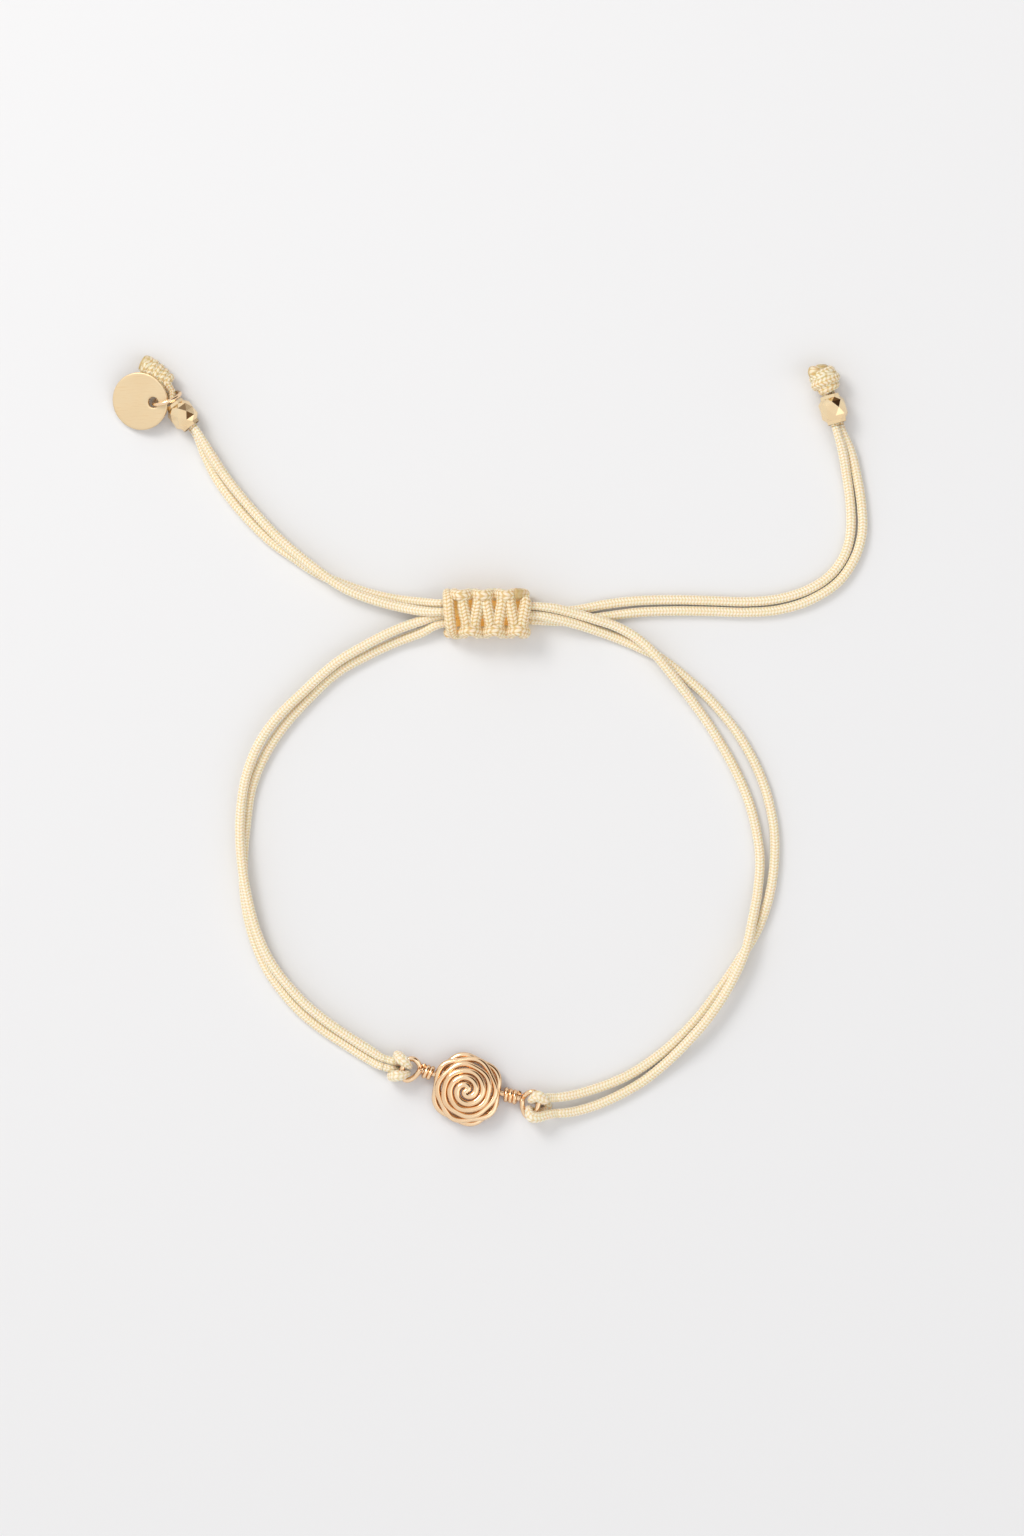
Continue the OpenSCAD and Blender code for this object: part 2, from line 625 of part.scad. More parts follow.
module right_end_knot() {
    at = right_bead_at;
    dir = right_bead_dir;
    wound = concat(
        [end_row(at, dir, inner_end, 0.31, bead_z + 0.32, bead_cord_r),
         end_row(at, dir, 1.6, 0.31, bead_z + 0.32, bead_cord_r)],
        winding(at, dir, 2.2, 0.76, 2.75, 0.6, 1.14, right_knot_z, 30, right_wound_r),
        [end_row(at, dir, 4.3, 0.75, right_knot_z + 0.55, 0.62),
         end_row(at, dir, 4.4, 1.15, right_knot_z + 0.4, 0.66)]);
    core = [
        end_row(at, dir, inner_end, -0.31, bead_z - 0.32, bead_cord_r),
        end_row(at, dir, 1.6, -0.31, bead_z - 0.32, bead_cord_r),
        end_row(at, dir, 2.5, 0, right_knot_z, 0.9),
        end_row(at, dir, 2.8, 0, right_knot_z, 1.3),
        end_row(at, dir, 3.6, 0, right_knot_z, 1.5),
        end_row(at, dir, 4.3, 0, right_knot_z, 1.2),
        end_row(at, dir, 4.75, -0.1, right_knot_z + 0.1, 0.65)];
    color(cream) {
        knotted(wound, cord_sides);
        knotted(core, cord_sides);
    }
}

// The left end knot lies at an angle to the bead, past the jump ring.
left_knot_dir = 138;
left_knot_at = [-36, 50.2];
left_knot_z = 1.26;
neck_cord_r = 0.36;             // the cords are squeezed where the jump ring goes round them

module left_end_knot() {
    at = left_bead_at;
    dir = left_bead_dir;
    far = left_knot_at;
    turn = left_knot_dir;
    over = [
        end_row(at, dir, inner_end, -0.12, bead_z + 0.41, bead_cord_r),
        end_row(at, dir, bead_len / 2 + 0.1, -0.12, bead_z + 0.41, neck_cord_r),
        end_row(far, turn, -0.6, 0.3, left_knot_z + 0.46, neck_cord_r)];
    under = [
        end_row(at, dir, inner_end, 0.12, bead_z - 0.43, bead_cord_r),
        end_row(at, dir, bead_len / 2 + 0.1, 0.12, bead_z - 0.43, neck_cord_r),
        end_row(far, turn, -0.6, 0.5, left_knot_z - 0.22, neck_cord_r),
        end_row(far, turn, 0.4, 0, left_knot_z, left_wound_r),
        end_row(far, turn, 1.1, 0, left_knot_z, 1.02),
        end_row(far, turn, 3.3, 0, left_knot_z, 1.06),
        end_row(far, turn, 3.85, 0.1, left_knot_z, 0.85)];
    wound = concat(over,
        winding(far, turn, 0.45, 0.7, 4, 0.62, 0.74, left_knot_z, 90, left_wound_r),
        [end_row(far, turn, 3.6, -0.5, left_knot_z + 0.1, left_wound_r)]);
    color(cream) {
        knotted(wound, cord_sides);
        knotted(under, cord_sides);
    }
}

// Tag on its jump ring

tag_at = [-39.12, 48.57, 1.6];
tag_tilt = [11.9, -16.8];       // its upper side and its right side are raised
tag_hole_at = [1.5, -0.15];     // the hole's place on the disc
jump_ring_at = [-36.3, 48.85, 1.65];
jump_ring_tilt = [0, 108.2, -68.8];

module tag() {
    color(pale_gold) translate(tag_at) rotate([0, tag_tilt.y, 0]) rotate([tag_tilt.x, 0, 0])
        difference() {
            translate([0, 0, -tag_t / 2]) cylinder(h = tag_t, d = tag_d, $fn = 64);
            translate([tag_hole_at.x, tag_hole_at.y, -tag_t])
                cylinder(h = 2 * tag_t, d = tag_hole, $fn = 32);
        }
}

module jump_ring() {
    color(gold) translate(jump_ring_at) rotate(jump_ring_tilt)
        rotate_extrude($fn = 48) translate([ring_r, 0]) circle(d = ring_wire, $fn = 24);
}

wire_rose();
eyelet_wire();
left_coil();
right_coil();
left_hitch();
right_hitch();
left_over_strand();
left_under_strand();
right_over_strand();
right_under_strand();
sliding_knot();
left_tail_over();
left_tail_under();
right_tail_inner();
right_tail_outer();
left_bead();
right_bead();
left_end_knot();
right_end_knot();
jump_ring();
tag();
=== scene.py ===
"""Cord bracelet with a wound wire rose, lying open on a pale surface and seen from above.

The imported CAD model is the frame. The cords are braided tubes along the routes of the CAD
cords, and the rose, the beads, the jump ring and the tag stand exactly where their nodes do.
"""
from __future__ import annotations

import logging
import math
from dataclasses import dataclass, field
from enum import Enum
from typing import Callable, Sequence

import bpy
import numpy as np
from mathutils import Matrix, Vector


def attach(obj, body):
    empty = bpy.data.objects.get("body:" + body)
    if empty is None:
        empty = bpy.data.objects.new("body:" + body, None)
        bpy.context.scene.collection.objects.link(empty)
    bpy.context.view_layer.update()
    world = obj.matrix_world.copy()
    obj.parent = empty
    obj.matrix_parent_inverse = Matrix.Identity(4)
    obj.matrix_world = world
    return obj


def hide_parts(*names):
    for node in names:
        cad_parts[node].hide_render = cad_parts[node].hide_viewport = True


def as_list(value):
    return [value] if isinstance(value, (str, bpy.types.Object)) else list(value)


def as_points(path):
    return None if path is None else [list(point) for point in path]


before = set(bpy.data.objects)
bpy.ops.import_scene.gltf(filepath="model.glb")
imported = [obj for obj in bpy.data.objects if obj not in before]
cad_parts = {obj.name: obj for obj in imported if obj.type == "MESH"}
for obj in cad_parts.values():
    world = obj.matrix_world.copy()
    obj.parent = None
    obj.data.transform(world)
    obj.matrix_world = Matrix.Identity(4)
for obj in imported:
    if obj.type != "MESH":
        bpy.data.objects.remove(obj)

LOG = logging.getLogger("bracelet")
MM = 0.001
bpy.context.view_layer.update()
Row = Sequence[float]
Colour = tuple[float, float, float]
UP, EAST, WEST = (0.0, 0.0, 1.0), (1.0, 0.0, 0.0), (-1.0, 0.0, 0.0)


# Shader maths

@dataclass(frozen=True)
class Term:
    """A socket's value that takes part in Python expressions, each of which adds Math nodes."""

    shader: "Shader"
    socket: bpy.types.NodeSocket

    def math(self, operation: str, *others: "Term | float", flip: bool = False) -> "Term":
        """Add one Math node with this value and the others as its inputs.

        Args:
            operation: The Math node's operation.
            others: The other inputs, in order.
            flip: Whether this value comes last instead of first.

        Returns:
            The node's result.
        """
        values = [*others, self] if flip else [self, *others]
        inputs = dict(enumerate(values))
        return self.shader.node("ShaderNodeMath", {"operation": operation}, inputs, 0)

    def __add__(self, other: "Term | float") -> "Term":
        """Sum of the two values."""
        return self.math("ADD", other)

    def __mul__(self, other: "Term | float") -> "Term":
        """Product of the two values."""
        return self.math("MULTIPLY", other)

    def __sub__(self, other: "Term | float") -> "Term":
        """This value less the other."""
        return self.math("SUBTRACT", other)

    def __rsub__(self, other: float) -> "Term":
        """The other value less this one."""
        return self.math("SUBTRACT", other, flip=True)

    __radd__ = __add__
    __rmul__ = __mul__

    def clamped(self) -> "Term":
        """This value held between 0 and 1."""
        return self.math("MINIMUM", 1.0).math("MAXIMUM", 0.0)

    def ramp(self, low: float, high: float) -> "Term":
        """Smooth step from 0 at low to 1 at high."""
        settings = {"interpolation_type": "SMOOTHSTEP", "clamp": True}
        return self.shader.node("ShaderNodeMapRange", settings, {0: self, 1: low, 2: high}, 0)


class Shader:
    """Builds one node material round a Principled shader."""

    def __init__(self, name: str) -> None:
        """Make a material that holds the Principled shader alone.

        Args:
            name: The material's name.
        """
        self.material = bpy.data.materials.new(name)
        self.material.use_nodes = True
        self.tree = self.material.node_tree
        self.tree.nodes.clear()
        output = self.tree.nodes.new("ShaderNodeOutputMaterial")
        self.surface = self.tree.nodes.new("ShaderNodeBsdfPrincipled")
        self.tree.links.new(self.surface.outputs["BSDF"], output.inputs["Surface"])

    def node(self, kind: str, settings: dict[str, object], inputs: dict[int | str, object],
             output: int | str) -> Term:
        """Add a node of any kind.

        Args:
            kind: The node's type.
            settings: Its own settings, which are set first.
            inputs: The value or the term for each input socket.
            output: The output socket to hand back.

        Returns:
            The chosen output.
        """
        made = self.tree.nodes.new(kind)
        for key, value in settings.items():
            setattr(made, key, value)
        for key, value in inputs.items():
            self.feed(made.inputs[key], value)
        return Term(self, made.outputs[output])

    def feed(self, socket: bpy.types.NodeSocket, value: object) -> None:
        """Link a term to a socket, or set a constant on it.

        Args:
            socket: The input socket.
            value: A term, a number, a vector or a colour.
        """
        if isinstance(value, Term):
            self.tree.links.new(value.socket, socket)
        elif socket.type == "RGBA":
            socket.default_value = (*value, 1.0)
        else:
            socket.default_value = value

    def set(self, **values: object) -> None:
        """Set or link sockets of the Principled shader, spaces in names as underscores."""
        for key, value in values.items():
            self.feed(self.surface.inputs[key.replace("_", " ")], value)

    def mix(self, share: Term | float, low: Term | Colour, high: Term | Colour) -> Term:
        """Blend of two colours, the first where the share is 0 and the second where it is 1."""
        return self.node("ShaderNodeMix", {"data_type": "RGBA"}, {0: share, 6: low, 7: high}, 2)

    def attribute(self, name: str) -> Term:
        """A number that the mesh keeps at each point."""
        return self.node("ShaderNodeAttribute", {"attribute_name": name}, {}, "Fac")

    def noise(self, scale: float, detail: float = 2.0, stretch: Row | None = None) -> Term:
        """Noise over the object's own coordinates.

        Args:
            scale: How many features there are in a metre.
            detail: How many finer layers are added.
            stretch: A scale for each axis, or nothing.

        Returns:
            The noise, about 0.5 on average.
        """
        place = self.node("ShaderNodeTexCoord", {}, {}, "Object")
        if stretch:
            place = self.node("ShaderNodeMapping", {}, {"Vector": place, "Scale": stretch}, 0)
        inputs = {"Vector": place, "Scale": scale, "Detail": detail}
        return self.node("ShaderNodeTexNoise", {}, inputs, "Fac")

    def bump(self, height: Term, strength: float, distance: float) -> None:
        """Drive the normal by a height from 0 to 1, with the distance for 1 in metres."""
        inputs = {"Strength": strength, "Distance": distance, "Height": height}
        self.set(Normal=self.node("ShaderNodeBump", {}, inputs, 0))


# Finishes

class Slot(Enum):
    """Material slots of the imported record."""

    WIRE = "gold_wire"
    BEAD = "gold_bead"
    SATIN = "satin_gold"
    CORD = "braided_cord"
    KNOT = "knot_cord"


@dataclass(frozen=True)
class GoldFinish:
    """Polished or satin gold with faint handling marks, and painted shade where the mesh marks
    points as inner.
    """

    name: str
    colour: Colour
    deep_colour: Colour
    roughness: float
    mark_scale: float
    mark_depth: float
    mark_stretch: Colour | None = None
    mark_strength: float = 0.25
    patch_scale: float = 420.0
    patch_share: float = 0.5
    # Colour and share of the painted shade on a wire's lower flanks
    flank_shade: Colour = (0.74, 0.36, 0.11)
    flank_shade_share: float = 0.75

    def build(self) -> bpy.types.Material:
        """Make the material, darker with painted shade where the mesh is marked as inner.

        Returns:
            The finished material.
        """
        shader = Shader(self.name)
        marks = shader.noise(self.mark_scale, 3.0, self.mark_stretch)
        patches = shader.noise(self.patch_scale).ramp(0.35, 0.7) * self.patch_share
        clean = shader.mix(patches, self.colour, self.deep_colour)
        # Painted shade: darker, browner colour where the mesh marks points as inner
        inner = shader.attribute("inner").clamped() * self.flank_shade_share
        shader.set(Base_Color=shader.mix(inner, clean, self.flank_shade), Metallic=1.0,
                   Roughness=self.roughness * (1.0 + 0.5 * marks.ramp(0.45, 0.8)))
        shader.bump(marks, self.mark_strength, self.mark_depth)
        return shader.material


@dataclass(frozen=True)
class BraidFinish:
    """Silky braided cord: pale yarn, warmer painted shade in the grooves and melted tan tips,
    and painted warm shade and a painted glow deep in a knot, standing in for light that comes
    through the thin nylon.
    """

    name: str
    yarn: Colour
    # Colour of the painted shade in the braid's grooves
    groove_shade: Colour
    melted: Colour
    # Colour of the painted warm shade deep in a knot, and the colour and strength of its painted
    # glow
    inside: Colour = (0.96, 0.66, 0.22)
    glow_colour: Colour = (0.52, 0.40, 0.14)
    glow: float = 0.25
    relief_range: tuple[float, float] = (0.12, 0.68)
    relief_share: float = 0.95
    fibre_scale: float = 9000.0
    fibre_share: float = 0.2
    fibre_middle: float = 0.4
    fibre_strength: float = 0.5
    fibre_depth: float = 0.00002
    drift_scale: float = 260.0
    drift_share: float = 0.12
    knot_shade_share: float = 0.95
    melted_share: float = 0.85

    def build(self) -> bpy.types.Material:
        """Make the material. The mesh keeps the relief, the melted share and the inner share.

        Returns:
            The finished material.
        """
        shader = Shader(self.name)
        melt = shader.attribute("melt").clamped()
        knot_shade_and_glow = shader.attribute("inner").clamped()
        fibres = shader.noise(self.fibre_scale)
        drift = shader.noise(self.drift_scale).ramp(0.35, 0.75)
        relief = shader.attribute("relief").ramp(*self.relief_range)
        fuzz = (fibres - self.fibre_middle) * self.fibre_share
        raised = (relief * self.relief_share + fuzz).clamped()
        # Painted shade: the groove colour where the braid's relief is low
        braid = shader.mix(raised, self.groove_shade, self.yarn)
        warm = shader.mix(drift * self.drift_share, braid, self.groove_shade)
        # Painted warm shade deep in the knot
        inner = shader.mix(knot_shade_and_glow * self.knot_shade_share, warm, self.inside)
        colour = shader.mix(melt * self.melted_share, inner, self.melted)
        shader.set(Base_Color=colour, Roughness=0.62 - 0.3 * melt, Sheen_Weight=0.3,
                   Sheen_Roughness=0.4, Specular_IOR_Level=0.45,
                   # Painted glow deep in the knot, standing in for light that comes through the
                   # nylon
                   Subsurface_Weight=0.12, Subsurface_Scale=0.0006, Emission_Strength=self.glow,
                   Emission_Color=shader.mix(knot_shade_and_glow, (0.0, 0.0, 0.0), self.glow_colour))
        shader.bump(fibres, self.fibre_strength, self.fibre_depth)
        return shader.material


@dataclass(frozen=True)
class FloorFinish:
    """Smooth pale paper."""

    name: str
    colour: Colour
    grain_colour: Colour = (0.7, 0.7, 0.7)
    grain_scale: float = 30.0
    grain_share: float = 0.02

    def build(self) -> bpy.types.Material:
        """Make the material.

        Returns:
            The finished material.
        """
        shader = Shader(self.name)
        grain = shader.noise(self.grain_scale) * self.grain_share
        tone = shader.mix(grain, self.colour, self.grain_colour)
        shader.set(Base_Color=tone, Roughness=0.85, Specular_IOR_Level=0.1)
        return shader.material


ROSE_GOLD = GoldFinish("rose_gold_wire", (0.93, 0.69, 0.45), (0.88, 0.55, 0.29),
                       roughness=0.14, mark_scale=2600.0, mark_depth=0.00001)
PALE_GOLD = GoldFinish("pale_gold_bead", (0.92, 0.74, 0.47), (0.88, 0.60, 0.32),
                       roughness=0.07, mark_scale=1800.0, mark_depth=0.000004)
SATIN_GOLD = GoldFinish("satin_gold_tag", (0.80, 0.635, 0.405), (0.77, 0.59, 0.36),
                        roughness=0.5, mark_scale=900.0, mark_depth=0.00001,
                        mark_stretch=(1.0, 9.0, 1.0))
LOOP_BRAID = BraidFinish("loop_braid", yarn=(0.91, 0.842, 0.70), groove_shade=(0.74, 0.57, 0.29),
                         melted=(0.55, 0.40, 0.16))
# The same cord as in the loop, with darker yarn and grooves: painted shade for the knots'
# shadowed cord
SHADED_KNOT_BRAID = BraidFinish("shaded_knot_braid", yarn=(0.90, 0.79, 0.59), groove_shade=(0.64, 0.42, 0.15),
                         melted=(0.50, 0.35, 0.13))
PAPER = FloorFinish("pale_paper", (0.765, 0.765, 0.77))


# Curves and tubes, in millimetres, worked out as the CAD cords and wires are

# Rows of a rounded tip, the degrees from one to the next, and the last one's least share
TIP_ROWS, TIP_TURN, TIP_LEAST = 6, 14.5, 0.06
WIRE_SIDES = 20


def unit(v: Row) -> np.ndarray:
    """The vector at length 1."""
    v = np.asarray(v, dtype=float)
    return v / np.linalg.norm(v)


def curve_row(a: np.ndarray, b: np.ndarray, c: np.ndarray, d: np.ndarray,
              t: float) -> np.ndarray:
    """Row at a share t of the smooth curve from b to c, with a before them and d after."""
    return 0.5 * (2 * b + (c - a) * t + (2 * a - 5 * b + 4 * c - d) * t * t
                  + (3 * b - a - 3 * c + d) * t ** 3)


def smooth(rows: Sequence[Row], start_dir: Row, end_dir: Row, step: float) -> np.ndarray:
    """Smooth curve through rows of x, y, z, radius, no part of it under the surface.

    Args:
        rows: The rows that it passes.
        start_dir: Its direction at the first row.
        end_dir: Its direction at the last row.
        step: About how far apart the new rows are.

    Returns:
        The new rows.
    """
    table = np.array(rows, dtype=float)
    first = np.linalg.norm(table[1, :3] - table[0, :3])
    last = np.linalg.norm(table[-1, :3] - table[-2, :3])
    before = table[1] - 2 * first * np.append(unit(start_dir), 0.0)
    after = table[-2] + 2 * last * np.append(unit(end_dir), 0.0)
    knots = np.vstack([before, table, after])
    found = []
    for i in range(len(table) - 1):
        length = np.linalg.norm(table[i + 1, :3] - table[i, :3])
        steps = max(1, round(length / step))
        found.extend(curve_row(*knots[i:i + 4], k / steps) for k in range(steps))
    found.append(table[-1])
    path = np.array(found)
    path[:, 2] = np.maximum(path[:, 2], path[:, 3])
    return path


def lengths_along(path: np.ndarray) -> np.ndarray:
    """Distance along a path at each of its rows."""
    steps = np.linalg.norm(np.diff(path[:, :3], axis=0), axis=1)
    return np.concatenate([[0.0], np.cumsum(steps)])


def frames_along(path: np.ndarray, first: Row) -> tuple[np.ndarray, np.ndarray]:
    """Two side directions at each row that never twist about the path.

    Args:
        path: The rows.
        first: About where the first side direction points at the start.

    Returns:
        The two side directions at each row.
    """
    ahead = np.vstack([path[1:2, :3], path[2:, :3], path[-1:, :3]])
    behind = np.vstack([path[:1, :3], path[:-2, :3], path[-2:-1, :3]])
    along = ahead - behind
    along /= np.linalg.norm(along, axis=1)[:, None]
    sides = np.zeros_like(along)
    side = np.asarray(first, dtype=float)
    for i, t in enumerate(along):
        side = unit(side - (side @ t) * t)
        sides[i] = side
    return sides, np.cross(along, sides)


def turned(x: float, y: float, angle: float) -> np.ndarray:
    """A place in plan, turned by an angle in degrees."""
    a = math.radians(angle)
    return np.array([x * math.cos(a) - y * math.sin(a), x * math.sin(a) + y * math.cos(a)])


def flat_dir(angle: float) -> np.ndarray:
    """Level direction at an angle in degrees."""
    return np.append(turned(1.0, 0.0, angle), 0.0)


def rotation(*turns: tuple[str, float]) -> np.ndarray:
    """Matrix of turns about axes.

    Args:
        turns: Each turn's axis and its degrees, the last one done first.

    Returns:
        The matrix.
    """
    spin = Matrix.Identity(3)
    for axis, angle in turns:
        spin = spin @ Matrix.Rotation(math.radians(angle), 3, axis)
    return np.array(spin)


def dome_rows(path: np.ndarray, at_start: bool, length: float) -> np.ndarray:
    """Round off an end of a tube with rows that shrink to a blunt tip.

    Args:
        path: The rows of the tube.
        at_start: Whether the first end is rounded instead of the last.
        length: How far the tip reaches past the end.

    Returns:
        The rows with the tip added.
    """
    rows = path[::-1] if at_start else path
    end = rows[-1]
    along = unit(rows[-1, :3] - rows[-3, :3])
    tip = []
    for i in range(1, TIP_ROWS + 1):
        a = math.radians(TIP_TURN * i)
        place = end[:3] + along * length * math.sin(a)
        tip.append(np.append(place, end[3] * max(math.cos(a), TIP_LEAST)))
    rows = np.vstack([rows, tip])
    return rows[::-1] if at_start else rows


@dataclass(frozen=True)
class Braid:
    """Herringbone relief of a braided cord: columns of slanted yarns."""

    pitch: float = 0.34
    columns: int = 8
    depth: float = 0.07
    mean: float = 0.6
    slant: float = 0.6
    between_yarns: float = 0.2
    between_columns: float = 0.3
    sides: int = 32
    step: float = 0.07

    def relief(self, along: np.ndarray, share: np.ndarray) -> np.ndarray:
        """Height of the braid, 1 on a yarn and lower in a groove.

        Args:
            along: Distance along the cord, one for each ring.
            share: Place round the cord from 0 to 1, one for each side.

        Returns:
            The height at each ring and side.
        """
        column = share * self.columns
        within = column % 1.0
        rising = (np.floor(column) % 2) < 0.5
        lean = np.where(rising, within, 1.0 - within) * self.slant
        yarn = 0.5 + 0.5 * np.cos(2 * math.pi * (along[:, None] / self.pitch + lean[None, :]))
        ridge = np.sin(math.pi * within) ** 0.5
        low, edge = self.between_yarns, self.between_columns
        return (low + (1 - low) * yarn) * (edge + (1 - edge) * ridge[None, :])


BRAID = Braid()


class Shell:
    """Gathers tubes and rows of points into one mesh, with numbers kept at each point."""

    # inner: share of painted shade on a wire's flanks, or of painted warm shade and glow deep in
    # a knot
    blank: dict[str, float] = {"relief": 1.0, "melt": 0.0, "inner": 0.0}
    melt_reach: float = 1.6
    melt_smooths: float = 0.8
    # Where the painted shade on a wire's flanks starts, by how far the surface faces down, and
    # over what it deepens
    flank_start: float = 0.62
    flank_fade: float = 0.5

    def __init__(self) -> None:
        """Start with no points."""
        self.points: list[np.ndarray] = []
        self.faces: list[tuple[int, ...]] = []
        self.values: dict[str, list[np.ndarray]] = {name: [] for name in self.blank}
        self.count = 0

    def add(self, points: np.ndarray, **values: np.ndarray) -> int:
        """Add loose points.

        Args:
            points: The points, whatever the shape of the array.
            values: What is kept at each point, where it isn't the blank's number.

        Returns:
            The index of the first point.
        """
        start = self.count
        flat = points.reshape(-1, 3)
        self.points.append(flat)
        self.count += len(flat)
        for name, number in self.blank.items():
            given = values.get(name, np.full(len(flat), number))
            self.values[name].append(given.reshape(-1))
        return start

    def grid(self, points: np.ndarray, closed: bool = False, **values: np.ndarray) -> int:
        """Add a grid of quads whose last column joins the first.

        Args:
            points: The points as rows by columns by 3.
            closed: Whether the last row joins the first.
            values: What is kept at each point.

        Returns:
            The index of the grid's first point.
        """
        rows, columns = points.shape[:2]
        start = self.add(points, **values)
        for i in range(rows if closed else rows - 1):
            a = start + i * columns
            b = start + (i + 1) % rows * columns
            for k in range(columns):
                k2 = (k + 1) % columns
                self.faces.append((a + k, b + k, b + k2, a + k2))
        return start

    def tube(self, path: np.ndarray, first: Row = UP, braid: Braid | None = None,
             melted: float = 0.0, depth: Callable[[np.ndarray], np.ndarray] | None = None,
             flanks: bool = False) -> None:
        """Add a round tube along rows of x, y, z, radius.

        Args:
            path: The rows.
            first: About where its first side points at the start.
            braid: The braid on it, or nothing for a smooth tube.
            melted: How much of its end is melted, in millimetres.
            depth: Gives how deep inside a knot points lie, from 0 to 1, for painted warm shade
                and glow.
            flanks: Whether the sides of the tube count as inner, for painted shade as between
                wires.
        """
        sides = braid.sides if braid else WIRE_SIDES
        side, other = frames_along(path, first)
        share = np.arange(sides) / sides
        cos = np.cos(2 * math.pi * share)[None, :, None]
        sin = np.sin(2 * math.pi * share)[None, :, None]
        ring = cos * side[:, None, :] + sin * other[:, None, :]
        radius = np.repeat(path[:, 3:4], sides, axis=1)
        values = {}
        if braid:
            along = lengths_along(path)
            melt = np.zeros_like(radius)
            if melted:
                from_end = along[-1] - along
                melt += np.clip(self.melt_reach - from_end / melted, 0, 1)[:, None]
            relief = braid.relief(along, share)
            radius = radius - braid.depth * (braid.mean - relief) * (1 - self.melt_smooths * melt)
            values = {"relief": relief, "melt": melt}
        points = path[:, None, :3] + radius[:, :, None] * ring
        if depth:
            values["inner"] = depth(points)
        # Painted shade: the sides and the underside of a wire count as inner
        elif flanks:
            flank = (self.flank_start - ring[:, :, 2]) / self.flank_fade
            values["inner"] = np.clip(flank, 0, 1)
        start = self.grid(points, **values)
        last = start + (len(path) - 1) * sides
        self.faces.append(tuple(range(start, start + sides)))
        self.faces.append(tuple(reversed(range(last, last + sides))))


def linked(name: str, data: bpy.types.ID) -> bpy.types.Object:
    """Make an object and link it into the scene.

    Args:
        name: The object's name.
        data: Its mesh, camera or light.

    Returns:
        The object.
    """
    made = bpy.data.objects.new(name, data)
    bpy.context.scene.collection.objects.link(made)
    return made


class Piece:
    """A piece of the bracelet, which stands for the CAD node of its name."""

    name: str
    slot = Slot.WIRE
    flat = False

    def fill(self, shell: Shell) -> None:
        """Add the piece's points and faces, in millimetres."""
        raise NotImplementedError

    def build(self, material: bpy.types.Material) -> bpy.types.Object:
        """Make the object, which rides on the root body.

        Args:
            material: Its material.

        Returns:
            The object.
        """
        shell = Shell()
        self.fill(shell)
        mesh = bpy.data.meshes.new(f"{self.name}_finish")
        points = np.concatenate(shell.points) * MM
        mesh.from_pydata(points.tolist(), [], shell.faces)
        for label, values in shell.values.items():
            layer = mesh.attributes.new(label, "FLOAT", "POINT")
            layer.data.foreach_set("value", np.concatenate(values).astype(np.float32))
        mesh.polygons.foreach_set("use_smooth", [not self.flat] * len(mesh.polygons))
        mesh.materials.append(material)
        mesh.update()
        made = linked(f"{self.name}_finish", mesh)
        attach(made, "root")
        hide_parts(self.name)
        LOG.info("%s: %d faces", self.name, len(mesh.polygons))
        return made


# Cords, each table with the columns x, y and z in millimetres

# The sliding knot's ends, and the heights of the lower and the upper strands in it
KNOT_LEFT, KNOT_RIGHT = -6.9, 2.5
LOW, HIGH = 1.46, 2.33
# How far inside the ends the strands' painted warm shade and glow start, how long they take to
# deepen, and the least y that they reach
KNOT_LIP, KNOT_FADE, KNOT_NEAR_Y = 0.3, 0.5, 20.0
# Radii of a cord where it is free, in the knot, in a bead and in the left knot's neck
CORD_R, CORE_R, BEAD_CORD_R, NECK_CORD_R = 0.525, 0.44, 0.42, 0.36
# Gaps under the knot's bars, between a strand and its hitch, and at a bead's mouth
KNOT_GAP, HITCH_GAP, MOUTH_GAP = 0.03, 0.02, 0.04
# A hitch's rows farther out than this turn with its strands, the others with the rose
EYE_REACH = 0.5
ROSE_AT = (-4.3, -24.9)
ROSE_SLOPE = -16.0
# A strand's route takes one of this many rows
ROUTE_STEP = 8


def cord_rows(*places: Row) -> list[Row]:
    """Rows of a cord from the sliding knot outward.

    Args:
        places: The places that it passes, without z where it lies on the surface.

    Returns:
        The rows of x, y, z, radius, thinner between the ends of the knot.
    """
    rows = []
    for x, y, *z in places:
        radius = CORE_R if KNOT_LEFT <= x <= KNOT_RIGHT else CORD_R
        rows.append((x, y, z[0] if z else CORD_R, radius))
    return rows


LEFT_OVER_ROWS = cord_rows(
    (KNOT_RIGHT, 26.2, LOW), (-2.2, 26, LOW), (KNOT_LEFT, 25.7, LOW), (-9.2, 25.1, 1.45),
    (-12, 24.1, 1.4), (-15, 22.6, 1.35), (-18.3, 20.6, 1.3), (-21.8, 17.5, 1.3),
    (-24.7, 14.6, 1.35), (-26.7, 11.6, 1.4), (-28, 7.9, 1.4), (-28.5, 3.5, 1.45),
    (-28.3, -0.8, 1.6), (-27.6, -4.8, 1.6), (-26.6, -8.4, 1.5), (-24.9, -11.8, 1.4),
    (-22.2, -15.1, 1.3), (-19.7, -17.3, 1.3), (-17, -19.2, 1.25), (-14.8, -20.6, 1.2))
LEFT_UNDER_ROWS = cord_rows(
    (KNOT_RIGHT, 25.15, LOW), (-2.2, 25, LOW), (KNOT_LEFT, 24.8, LOW), (-9.2, 23.85, 0.9),
    (-12, 22.8), (-15, 21.4), (-18.3, 19.5), (-21.4, 16.6), (-23.9, 13.8), (-25.9, 10.7),
    (-27.3, 7.2), (-27.9, 3.2), (-28.2, -0.8), (-28, -4.6), (-27.2, -8.4), (-25.6, -12.2),
    (-22.9, -15.8), (-20.2, -18.2), (-17.2, -20.2), (-14.8, -21.7))
